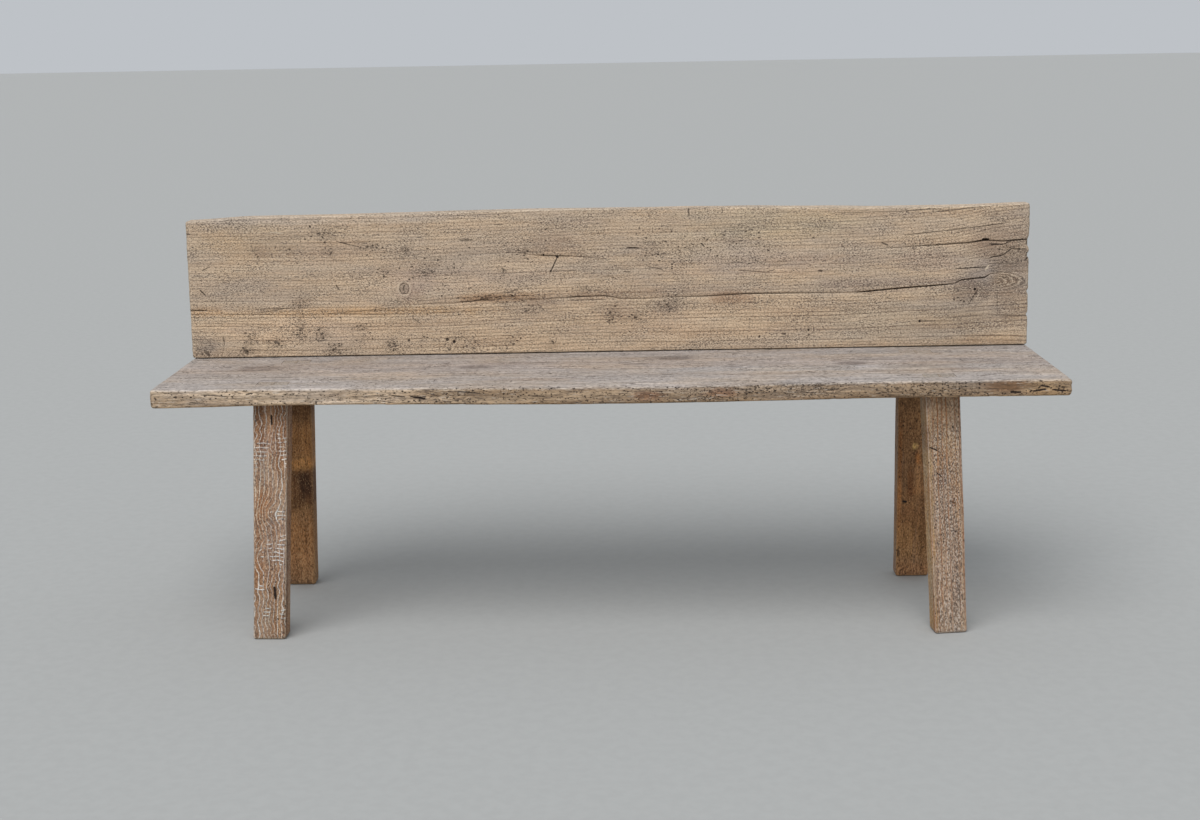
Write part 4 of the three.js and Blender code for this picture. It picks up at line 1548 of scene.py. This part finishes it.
# Patches, marks and ladders, which are spots of cross marks, on a leg's front are given as on the
# backrest, with the height along the leg for along and the offset to the right of its middle for up
legs = (
    {
        "name": "frontLeftLeg",
        "node": "leg_front_left",
        "turnDegrees": -2.5,
        "quietSides": 1,
        "rings": wavyRings(0.0076, 71),
        "ladders": (
            (0.353, 0.0, 0.035, 0.05, 0.8),
            (0.232, 0.018, 0.014, 0.018, 1.1),
            (0.165, 0.01, 0.034, 0.022, 1.3),
            (0.05, 0.0, 0.014, 0.03, 0.9),
            (0.1, -0.02, 0.02, 0.016, 0.8),
        ),
        "ridge": 0.0004,
        "worm": 0.1,
        "patches": (
            # Painted shade: the top of the leg darkened where the seat above shades it
            (0.42, 0.0, 0.03, 0.06, (0.84, 0.84, 0.84)),
            (0.3, -0.034, 0.1, 0.01, (1.06, 0.94, 0.8)),
            (0.24, -0.02, 0.06, 0.02, (1.06, 0.97, 0.86)),
            (0.17, -0.028, 0.07, 0.014, (1.08, 0.98, 0.84)),
            (0.255, -0.005, 0.03, 0.016, (0.96, 0.86, 0.78)),
            # Painted shade: a weaker darkening just below, fading down the leg from the seat
            (0.36, 0.0, 0.03, 0.03, (0.92, 0.9, 0.92)),
            (0.27, 0.0, 0.07, 0.06, (1.06, 1.13, 1.16)),
            (0.07, 0.0, 0.04, 0.06, (1.05, 1.09, 1.07)),
            (0.02, 0.0, 0.03, 0.05, (1.02, 1.05, 1.03)),
            (0.1, 0.0, 0.14, 0.08, (0.9, 0.95, 1.02)),
        ),
        "marks": (
            (411, 2, 394, 3, 2.2, 1.0),
            (394, 3, 384, 5, 1.4, 0.5),
            (97, 9, 76, 11, 3.4, 1.0),
        ),
        "look": {
            "pale": tint(177, 133, 97),
            "brown": tint(134, 92, 62),
            "late": tint(255, 247, 237),
            "band": 0.04,
            "ringTone": 0.8,
            "lineStrength": 1.0,
            "figureStrength": 0.0,
            "quietSides": 0.72,
            "ridgeDepth": 0.0009,
            "crossAmount": 0.01,
            "crossSpacing": 0.0074,
            "crossStrength": 0.65,
            "sharpness": 0.85,
            "greyAmount": 0.0,
            "gritDark": 0.7,
            "gritDrift": 0.1,
        },
    },
    {
        "name": "frontRightLeg",
        "node": "leg_front_right",
        "turnDegrees": 7,
        "calmEdges": 1.0,
        "calmTop": 0.7,
        "rings": straightRings(0.0076, 0.02, 0.1, 81, 0.4),
        "ridge": 0.0002,
        "worm": 0.08,
        "patches": (
            (0.4, 0.0, 0.07, 0.06, (0.99, 1.06, 1.1)),
            (0.325, 0.0, 0.06, 0.06, (1.02, 1.06, 1.09)),
            (0.02, 0.0, 0.04, 0.05, (1.03, 1.07, 1.08)),
            (0.355, -0.034, 0.03, 0.01, (0.62, 0.57, 0.54)),
            (0.385, 0.02, 0.03, 0.025, (0.8, 0.8, 0.82)),
            (0.2, -0.034, 0.3, 0.01, (1.1, 0.98, 0.64)),
            (0.12, 0.034, 0.16, 0.008, (1.12, 0.97, 0.8)),
            (0.285, -0.008, 0.02, 0.016, (0.86, 0.83, 0.83)),
            (0.24, 0.012, 0.012, 0.009, (0.7, 0.6, 0.52)),
            (0.1, 0.016, 0.1, 0.006, (0.86, 0.86, 0.88)),
        ),
        "marks": (
            (340, -28, 334, -15, 1.5, 1.0),
            (294, -17, 286, -8, 1.4, 0.8),
            (286, -8, 292, 0, 1.2, 0.7),
            (241, 6, 238, 15, 1.6, 0.6),
            (188, 7, 186, 16, 1.4, 0.6),
            (112, -33, 106, -33, 1.8, 0.8),
            (180, 16, 110, 17, 1.3, 0.5),
            (98, 17, 40, 18, 1.3, 0.5),
            (230, -37, 150, -37, 1.2, 0.5),
            (330, -36, 260, -37, 1.2, 0.5),
        ),
        "look": {
            "pale": tint(180, 145, 112),
            "brown": tint(152, 118, 88),
            "late": tint(146, 92, 54),
            "lineStrength": 0.75,
            "figureCalm": 0.75,
            "lineCalm": 0.8,
            "sharpness": 0.6,
            "gritAmount": 0.8,
            "gritDrift": 0.12,
            "gritDark": 0.85,
            "gritTone": tint(84, 76, 74),
            "worn": tint(208, 198, 188),
            "gritLength": 0.0042,
            "gritWidth": 0.0017,
            "speckAmount": 0.4,
        },
    },
    {
        "name": "rearLeftLeg",
        "node": "leg_rear_left",
        "turnDegrees": 0,
        "greySides": 0.4,
        "rings": straightRings(0.007, 0.06, -0.01, 91, 1.5),
        "ridge": 0.0001,
        "worm": 0.0,
        "patches": (
            # Painted shade: the top of the leg darkened where the seat above shades it
            (0.385, 0.0, 0.04, 0.06, (0.55, 0.5, 0.48)),
            (0.3, 0.0, 0.05, 0.06, (1.4, 1.3, 1.1)),
            (0.258, 0.0, 0.016, 0.06, (1.45, 1.35, 1.1)),
            (0.209, 0.034, 0.035, 0.028, (0.6, 0.53, 0.52), 1),
            (0.205, 0.0, 0.039, 0.01, (0.66, 0.6, 0.58), 1),
            (0.2, -0.016, 0.044, 0.009, (0.72, 0.66, 0.62), 1),
            (0.195, -0.034, 0.049, 0.012, (0.74, 0.67, 0.62), 1),
            (0.216, 0.013, 0.034, 0.018, (0.42, 0.4, 0.44)),
            (0.09, 0.0, 0.08, 0.05, (1.2, 1.1, 0.98)),
            (0.262, 0.0, 0.02, 0.06, (1.12, 1.16, 1.18)),
            (0.175, 0.0, 0.022, 0.05, (0.82, 0.83, 0.8)),
            (0.035, 0.0, 0.04, 0.05, (1.12, 1.17, 1.28)),
            # Painted shade: a weaker darkening below the seat, fading down the leg
            (0.37, 0.0, 0.03, 0.06, (0.87, 0.88, 0.86)),
        ),
        "marks": (
            (297, -20, 297, -8, 1.4, 0.4),
            (302, 2, 301, 16, 1.4, 0.4),
            (284, -14, 283, -2, 1.2, 0.4),
        ),
        "look": {
            **rearLook,
            # Darker and more orange than the front legs: partly the wood's own colour, partly painted
            # shade of standing under the seat
            "pale": tint(160, 119, 80),
            "brown": tint(134, 95, 62),
            "late": tint(104, 72, 47),
            "worn": tint(186, 148, 108),
            "gritTone": tint(84, 58, 38),
            "gritAmount": 0.75,
            "gritDrift": 0.1,
            "greyAmount": -0.25,
            "crossAmount": 0.2,
            "crossSpacing": 0.01,
        },
    },
    {
        "name": "rearRightLeg",
        "node": "leg_rear_right",
        "turnDegrees": 0,
        "greySides": 0.4,
        "rings": straightRings(0.006, 0.06, 0.03, 101, 1.2),
        "ridge": 0.0001,
        "worm": 0.1,
        "patches": (
            # Painted shade: the top of the leg darkened where the seat above shades it
            (0.4, 0.0, 0.05, 0.06, (0.86, 0.84, 0.84)),
            (0.276, 0.0, 0.007, 0.006, (3.0, 3.6, 3.2)),
            (0.274, -0.002, 0.005, 0.003, (1.3, 1.4, 1.3)),
            (0.252, 0.006, 0.014, 0.006, (1.4, 1.08, 0.78)),
            (0.22, -0.029, 0.14, 0.006, (1.3, 1.08, 0.86)),
            (0.21, 0.016, 0.034, 0.018, (1.4, 1.36, 1.3), 1),
            (0.2, -0.008, 0.05, 0.009, (0.72, 0.6, 0.54)),
            (0.13, -0.01, 0.03, 0.03, (0.8, 0.76, 0.76)),
            (0.11, 0.016, 0.07, 0.02, (0.86, 0.84, 0.84)),
            (0.1, 0.0, 0.1, 0.04, (1.12, 1.08, 1.02)),
            (0.01, 0.0, 0.02, 0.05, (1.2, 1.12, 1.05)),
            (0.08, 0.0, 0.07, 0.05, (1.14, 1.18, 1.14)),
            (0.02, 0.0, 0.03, 0.05, (1.08, 1.1, 1.2)),
            # Painted shade: a weaker darkening below the seat, fading down the leg
            (0.37, 0.0, 0.03, 0.06, (0.85, 0.88, 0.9)),
        ),
        "marks": (
            (161, -21, 160, -15, 3.2, 1.0),
            (386, -27, 376, -28, 1.8, 0.7),
            (60, -29, 44, -29, 2.2, 0.8),
        ),
        "look": {
            **rearLook,
            # Darker and more orange than the front legs: partly the wood's own colour, partly painted
            # shade of standing under the seat
            "pale": tint(160, 118, 79),
            "brown": tint(130, 93, 61),
            "late": tint(92, 62, 41),
            "worn": tint(196, 152, 108),
            "gritTone": tint(66, 45, 32),
            "gritAmount": 0.7,
            "gritDrift": 0.12,
            "greyAmount": -0.2,
        },
    },
)

for number, leg in enumerate(legs):
    legPiece = makeLeg(leg, 200 + 30 * number)
    legPiece.data.materials.append(weatheredWood(leg["name"] + "Timber", {**timber, **leg["look"]}, 1))
    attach(legPiece, "root")
    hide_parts(leg["node"])


# The seat plank

# Each tenon's end, grown by the clearance round it
seatTenons = {}
for leg in legs:
    points, _, _, tenonTop = legLevels(leg["node"])
    grown = np.array((-1, 1, -1, 1)) * seat["wall"]
    seatTenons[leg["node"]] = np.array(levelBox(points, tenonTop)) + grown


def seatRings(x, deep, up):
    # Growth rings about a pith under the plank, so the top shows long pointed loops. The count is
    # the distance from the pith over the spacing
    middle, below = seat["pith"]
    middle = middle + 0.05 * latticeNoise(x / 0.6, 0.5, 0.5, 15)
    middle = middle + 0.02 * latticeNoise(x / 0.2, 0.5, 0.5, 17)
    below = below + 0.015 * latticeNoise(x / 0.5, 0.5, 0.5, 19)
    count = np.hypot(deep - middle, up - below) / seat["ringSpacing"]
    return count + 0.35 * layeredNoise(x / 0.16, deep / 0.03, up / 0.03, 23, 2)


def makeSeat():
    # The plank by its sizes, with shallow pockets that the tenons' ends show in
    size = seat
    half = size["length"] / 2
    wall, margin = size["wall"], size["laneMargin"]
    extra = []
    for box in seatTenons.values():
        extra += [box[2], box[2] + wall, box[3] - wall, box[3]]
    t, inset, facing = sweepStations(-half, half, size["stations"], size["endArris"], extra)
    share = plankAlong(t, size["length"])
    between = 1 - smoothStep(np.abs(t), 0, size["legReach"])
    low = seatEdgeAt(t, -1) - size["bow"] * readShares(size["bowShares"], share)
    high = seatEdgeAt(t, 1)
    thicker = size["endBelly"] * smoothStep(-t, size["legReach"], half)
    floor = size["height"] - size["thickness"] - size["belly"] * between - thicker
    rub = [layeredNoise(t / 0.06, 0.5, corner + 0.5, 30 + corner) for corner in range(4)]
    radii = (0.0055 + 0.0025 * rub[0], 0.004, 0.004, 0.005 + 0.0025 * rub[3])

    def lane(nodes, side):
        boxes = [seatTenons[node] for node in nodes]
        places = [edge for box in boxes for edge in (box[2] - margin, box[3] + margin)]
        values = [value for box in boxes for value in (box[side], box[side])]
        return np.interp(t, places, values)

    front = ("leg_front_left", "leg_front_right")
    rear = ("leg_rear_left", "leg_rear_right")
    topLanes = []
    for nodes in (front, rear):
        start, end = lane(nodes, 0), lane(nodes, 1)
        topLanes += [start, start + wall, end - wall, end]
    lines = {
        "front": ((), (22,)),
        "top": (topLanes, (11, 1, 8, 1, 42, 1, 8, 1, 16)),
        "rear": ((), (8,)),
        "floor": ((), (38,)),
    }
    loops, limits = sweep(t, inset, facing, (low, high, floor, size["height"]), radii, lines, 5)
    x, a, b, nx, na, nb = loops
    topness, frontness = np.clip(nb, 0, 1), np.clip(-na, 0, 1)
    x0, deep0, up0 = x.copy(), a - seatEdgeAt(x, -1), b - (size["height"] - size["thickness"])
    # The front of the top is worn away between the legs
    start = seatEdgeAt(x, -1) + size["wearWidth"]
    worn = smoothStep(start - a, 0, overLoops(seatEdgeAt(t, -1) + size["wearWidth"] - low, x))
    upperHalf = b > size["height"] - size["thickness"] / 2
    drop = size["wearDrop"] * overLoops(between, x) * worn * upperHalf
    # Soft hollows, and worm runs along the front edge
    depth = 0.0005 * (1 + layeredNoise(x / 0.15, deep0 / 0.06, up0 / 0.05, 61))
    depth = depth + 0.0002 * (1 + layeredNoise(x / 0.03, deep0 / 0.008, up0 / 0.008, 63, 2))
    runs = latticeNoise(x / 0.009, deep0 / 0.02, up0 / 0.0028, 65)
    runs = runs + 0.5 * latticeNoise(x / 0.005, deep0 / 0.02, up0 / 0.002, 67)
    wormed = smoothStep(layeredNoise(x / 0.09, 0.5, up0 / 0.03, 69), -0.35, 0.3)
    wormed = wormed * (1 - 0.85 * plateau(x, *size["smoothStretch"]))
    depth = depth + 0.0016 * smoothStep(runs, 0.42, 0.85) * wormed * frontness
    ragged = (1 + latticeNoise(x / 0.008, 0.5, up0 / 0.003, 70)) / 2
    depth = depth + softSpots(size["tornSpots"], x, up0) * frontness * ragged
    chips = smoothStep(latticeNoise(x / 0.02, deep0 / 0.02, up0 / 0.02, 73), 0.5, 0.95)
    edges = edgeCloseness((x0, a, b), limits, (-half, half), 0.004)
    depth = depth + 0.0018 * chips * edges * (a < 0)
    # Pockets for the tenons, with the depth of the recess. Their floors take the dark crack colour, as
    # painted shade seen down the gap round each tenon's end
    inPocket = np.zeros(x.shape, bool)
    for box in seatTenons.values():
        inside = (np.abs(a - (box[0] + box[1]) / 2) < (box[1] - box[0] - wall) / 2) & (nb > 0.9)
        inPocket |= inside & (np.abs(x - (box[2] + box[3]) / 2) < (box[3] - box[2] - wall) / 2)
    depth = np.where(inPocket, size["recess"], depth)
    endGap = half - np.abs(x)
    ragged = 0.0005 * (1 + layeredNoise(deep0 / 0.02, up0 / 0.008, np.sign(x), 77))
    torn = 0.0012 * bump(deep0, 0.01, 0.02) * (x > 0) * (1 + latticeNoise(up0 / 0.005, 0.5, 0.5, 79))
    pull = (ragged + torn) * (1 - smoothStep(endGap, 0.0, 0.03))
    spots = np.stack([x - np.sign(x) * pull, a - na * depth, b - nb * depth - drop], -1)
    # Worm runs thicken towards the right of the front edge, but for one smooth patch
    dense = readShares(size["wormShares"], plankAlong(x0, size["length"]))
    patchy = smoothStep(layeredNoise(x0 / 0.06, 0.5, up0 / 0.03, 81), -0.5, 0.4)
    smoothPatch = plateau(x0, *size["cleanStretch"]) * smoothStep(up0, 0.01, 0.016)
    worm = dense * (0.5 + 0.5 * patchy) * (1 - smoothPatch) * (frontness + 0.3 * (na > 0.5))
    worm = worm + 0.06 * topness
    edgeLine = bump(b, limits[2], 0.0035) * frontness
    tinge = patchField(seatPatches, x0, up0, frontness, 83)
    tinge = tinge * patchField(seatTopPatches, x0, deep0, topness, 85)
    tinge = tinge * (1 + edgeLine[..., None] * (np.array((1.08, 0.95, 0.76)) - 1))
    tornRight = smoothStep(x, 0.765, 0.8) * frontness
    runMarks = 0.7 * dense * smoothStep(runs, 0.6, 1.0) * wormed * frontness
    fields = {
        "place": np.stack([x0, deep0 * size["grainStretch"], up0], -1),
        "ring": seatRings(x0, deep0, up0),
        "wear": edges * (0.35 + 0.65 * (b > size["height"] - 0.012)),
        "grey": 0.75 * topness - 0.15 * frontness,
        # Worm-run marks, and painted shade on the pockets' floors round the tenons
        "crack": np.clip(runMarks + inPocket, 0, 1),
        "stain": np.clip((0.35 * wormed * dense + 0.4 * tornRight) * frontness, 0, 1),
        "endGrain": np.abs(nx),
        "figure": 0.3 * topness,
        "worm": np.clip(worm, 0, 1),
        "tinge": tinge,
    }
    topMarks = markFields(seatMarks, x0, deep0, nb > 0.5)
    frontMarks = markFields(seatFrontMarks, x0, up0, na < -0.3)
    fields.update({title: values + frontMarks[title] for title, values in topMarks.items()})
    return sweptMesh("seatPlank", spots, fields, nodeBox("seat_plank"))


seatLook = {
    **timber,
    "grey": tint(163, 151, 142),
    "pale": tint(192, 167, 139),
    "brown": tint(160, 134, 107),
    "late": tint(104, 84, 68),
    "worn": tint(212, 200, 186),
    "gritTone": tint(86, 73, 67),
    "lineStrength": 0.6,
    "fibreLength": 0.2,
    "fibreWidth": 0.0034,
    "streak": 0.3,
    "mottle": 0.2,
    "mottleSize": (0.008, 0.0055, 0.0035),
    "mottleDepth": 0.0006,
    "gritAmount": 0.5,
    "gritDark": 0.6,
    "gritPale": 0.45,
    "gritLength": 0.02,
    "gritWidth": 0.0024,
    "speckStrength": 0.85,
    "wormSize": 0.004,
    "wormStrength": 0.9,
    "band": 0.08,
}


# Colour patches of the front edge, as on the backrest, with the height above the plank's foot
seatPatches = (
    (-0.65, 0.016, 0.4, 0.08, (1.25, 1.31, 1.4)),
    (0.073, 0.014, 0.034, 0.011, (0.82, 0.66, 0.6)),
    (0.2, 0.016, 0.034, 0.011, (0.82, 0.66, 0.6)),
    (0.3, 0.016, 0.8, 0.08, (0.88, 0.86, 0.84)),
    (0.55, 0.016, 0.3, 0.08, (0.94, 0.93, 0.92)),
    (0.7, 0.023, 0.05, 0.014, (0.72, 0.58, 0.48)),
    (0.78, 0.012, 0.05, 0.02, (1.12, 1.04, 0.9)),
    (0.68, 0.026, 0.13, 0.011, (0.78, 0.8, 0.83)),
    (0.17, 0.026, 0.17, 0.011, (0.88, 0.93, 1.03)),
    (-0.46, 0.01, 0.18, 0.012, (1.14, 1.16, 1.19)),
)


# Colour patches of the top, with the distance back from the front edge for height
seatTopPatches = (
    (-0.663, 0.2, 0.05, 0.026, (0.66, 0.64, 0.64)),
    (-0.251, 0.19, 0.04, 0.024, (0.62, 0.6, 0.6)),
    (-0.2, 0.215, 0.06, 0.02, (0.88, 0.87, 0.88)),
    (-0.49, 0.19, 0.05, 0.02, (0.92, 0.9, 0.88)),
    (-0.371, 0.12, 0.05, 0.016, (1.12, 1.12, 1.12)),
    (-0.6, 0.07, 0.12, 0.02, (1.05, 1.05, 1.06)),
    (-0.12, 0.06, 0.12, 0.018, (0.86, 0.82, 0.79)),
    (0.131, 0.262, 0.05, 0.026, (0.62, 0.61, 0.62)),
    (0.226, 0.085, 0.06, 0.014, (0.92, 0.9, 0.88)),
    (0.37, 0.295, 0.12, 0.02, (1.04, 1.04, 1.05)),
    (0.457, 0.182, 0.036, 0.024, (0.58, 0.56, 0.56)),
    (0.48, 0.14, 0.034, 0.022, (1.2, 1.21, 1.24)),
    (0.583, 0.15, 0.05, 0.014, (0.82, 0.8, 0.78)),
    (0.644, 0.115, 0.06, 0.014, (0.78, 0.75, 0.73)),
    (0.318, 0.05, 0.1, 0.014, (1.05, 1.05, 1.06)),
    (0.0, 0.32, 3.0, 0.07, (0.91, 0.95, 1.0)),
    (0.0, 0.19, 3.0, 0.07, (0.95, 0.95, 0.97)),
    (0.0, 0.04, 3.0, 0.06, (1.0, 1.04, 1.09)),
    (0.35, 0.14, 0.5, 0.035, (0.98, 1.04, 1.1)),
)


# Marks on the top in millimetres, as on the backrest, but back from the front edge for up
seatMarks = (
    (463, 222, 754, 208, 2.0, 0.9),
    (-462, 160, -290, 206, 1.8, 0.6),
    (661, 210, 664, 190, 1.8, 0.6),
    (-640, 110, -570, 110, 2.6, 0.7),
    (-636, 84, -566, 86, 2.6, 0.7),
    (-600, 268, -550, 268, 2.4, 0.6),
    (-606, 234, -540, 236, 2.4, 0.5),
    (-150, 230, -110, 232, 2.6, 0.8),
    (-95, 180, -60, 183, 2.4, 0.6),
    (30, 200, 75, 204, 3.2, 0.8),
    (210, 165, 250, 160, 2.8, 0.7),
    (405, 150, 430, 148, 2.8, 0.7),
    (520, 60, 545, 62, 3.0, 0.7),
    (-330, 40, -320, 40, 3.2, 0.8),
    (100, 96, 118, 97, 3.0, 0.7),
)

# Marks on the front edge, with the height above the plank's foot for up
seatFrontMarks = (
    (763, 20, 779, 17, 1.8, 1.0),
    (750, 10, 772, 13, 2.2, 1.0),
    (784, 12, 808, 10, 2.0, 1.0),
    (786, 23, 817, 21, 1.6, 0.8),
    (790, 17, 812, 16, 1.2, 0.6),
    (711, 9, 728, 8, 2.2, 1.0),
    (745, 5, 800, 5, 1.2, 0.6),
    (-772, 17, -772, 17, 2.8, 0.8),
    (-809, 14, -809, 14, 2.8, 0.8),
    (-748, 7, -720, 6, 1.3, 0.7),
    (-727, 21, -681, 18, 1.3, 0.7),
    (-350, 15, -325, 10, 2.6, 1.0),
    (-382, 17, -361, 14, 1.8, 0.8),
    (-520, 6, -520, 6, 2.6, 0.9),
    (-645, 21, -634, 23, 1.8, 0.8),
    (-271, 25, -225, 20, 1.8, 0.7),
    (-141, 14, -111, 12, 1.6, 0.7),
    (41, 15, 110, 15, 1.6, 0.5),
)

seatPiece = makeSeat()
seatPiece.data.materials.append(weatheredWood("seatTimber", seatLook, 3))
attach(seatPiece, "root")
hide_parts("seat_plank")


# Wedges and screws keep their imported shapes

wedgeLook = {
    **timber,
    "pale": tint(158, 142, 126),
    "brown": tint(136, 119, 103),
    "greyAmount": 0.6,
    "endStrength": 0.2,
    "wormSize": 0.0,
}
wedgeTimber = weatheredWood("wedgeTimber", wedgeLook, fromObject=True)


screwLook = {
    "dull": tint(96, 92, 88),
    "scuffed": tint(140, 136, 132),
    "rust": tint(92, 60, 42),
    "scuffDepth": 0.00008,
}


def darkSteel():
    # Dull, scuffed steel that turns to rust in patches
    material, tree, shader = newMaterial("darkSteel")
    place = addNode(tree, "TexCoord")["Object"]
    patches = noise(place, 260.0, 4.0, 0.6)
    scuffs = noise(place, 1400.0, 2.0, 0.5)
    rust = remap(patches, 0.45, 0.7)
    steel = blendColour(scuffs, screwLook["dull"], screwLook["scuffed"])
    made = {
        "Base Color": blendColour(rust, steel, screwLook["rust"]),
        "Metallic": 1.0 - rust,
        "Roughness": remap(patches, 0.3, 0.7, 0.38, 0.75),
        "Normal": liftedNormal(scuffs * screwLook["scuffDepth"]),
    }
    plugAll(shader.inputs, made)
    return material


screwSteel = darkSteel()
for name, node in frame["nodes"].items():
    if name.startswith("tenon_wedge"):
        node.data.materials[0] = wedgeTimber
    if name.startswith("backrest_screw"):
        node.data.materials[0] = screwSteel
print("wedges and screws finished")


# Floor, light and camera

studio = {
    "floorSize": 240.0,
    "floorColour": tint(166, 166, 164),
    "floorDark": tint(163, 163, 161),
    "skyColour": tint(214, 220, 226),
    "skyStrength": 0.85,
    "backColour": tint(190, 194, 199),
    "sunStrength": 2.2,
    "sunFrom": (-0.35, -0.75, 1.3),
    "sunSpreadDegrees": 50.0,
}


def makeFloor():
    # A wide pale floor, which is no part of the bench
    reach = studio["floorSize"] / 2
    corners = [(-reach, -reach, 0), (reach, -reach, 0), (reach, reach, 0), (-reach, reach, 0)]
    mesh = bpy.data.meshes.new("floor")
    mesh.from_pydata(corners, [], [(0, 1, 2, 3)])
    material, tree, shader = newMaterial("paleFloor")
    place = addNode(tree, "TexCoord")["Object"]
    grain = noise(place, 45.0, 3.0, 0.6)
    shade = blendColour(remap(grain, 0.3, 0.7), studio["floorColour"], studio["floorDark"])
    plugAll(shader.inputs, {"Base Color": shade, "Roughness": 0.9, "Specular IOR Level": 0.2})
    mesh.materials.append(material)
    floor = addObject("floor", mesh)


def makeWorld():
    # Even light from the sky, with a plain backdrop for the camera
    world = bpy.data.worlds.new("paleSky")
    bpy.context.scene.world = world
    world.use_nodes = True
    tree = world.node_tree
    tree.nodes.clear()
    sky = {"Color": studio["skyColour"], "Strength": studio["skyStrength"]}
    light = addNode(tree, "Background", sky)
    back = addNode(tree, "Background", {"Color": studio["backColour"], "Strength": 1.0})
    seen = addNode(tree, "LightPath")
    either = reckon("MAXIMUM", seen["Is Camera Ray"], seen["Is Glossy Ray"])
    both = addNode(tree, "MixShader", {0: either, 1: light[0], 2: back[0]})
    addNode(tree, "OutputWorld", {"Surface": both[0]}, is_active_output=True)


def makeSun():
    # A broad, even light from above the front, like a large window
    lamp = bpy.data.lights.new("softSun", "SUN")
    lamp.energy = studio["sunStrength"]
    lamp.angle = math.radians(studio["sunSpreadDegrees"])
    made = addObject("softSun", lamp)
    made.rotation_euler = Vector(studio["sunFrom"]).to_track_quat("Z", "Y").to_euler()


# The photograph's camera, in degrees about the bench's own axes
camera = {
    "place": (0.0385, -3.14145, 1.0486),
    "yaw": -1.02,
    "pitch": 12.018,
    "roll": -1.023,
    "lens": 51.0,
    "sensor": 36.0,
}


def makeCamera():
    # It looks along +Y, turned right by the yaw, down by the pitch and then rolled
    yaw, pitch, roll = [math.radians(camera[turn]) for turn in ("yaw", "pitch", "roll")]
    ahead = Vector(
        (math.sin(yaw) * math.cos(pitch), math.cos(yaw) * math.cos(pitch), -math.sin(pitch))
    )
    right = Vector((math.cos(yaw), -math.sin(yaw), 0))
    above = right.cross(ahead)
    tiltedRight = math.cos(roll) * right + math.sin(roll) * above
    tiltedUp = math.cos(roll) * above - math.sin(roll) * right
    data = bpy.data.cameras.new("camera")
    data.lens = camera["lens"]
    data.sensor_width = camera["sensor"]
    made = addObject("camera", data)
    turned = Matrix((tiltedRight, tiltedUp, -ahead)).transposed().to_4x4()
    made.matrix_world = Matrix.Translation(camera["place"]) @ turned
    bpy.context.scene.camera = made


makeFloor()
makeWorld()
makeSun()
makeCamera()
bpy.context.scene.view_settings.view_transform = "Standard"
print("floor, light and camera set")
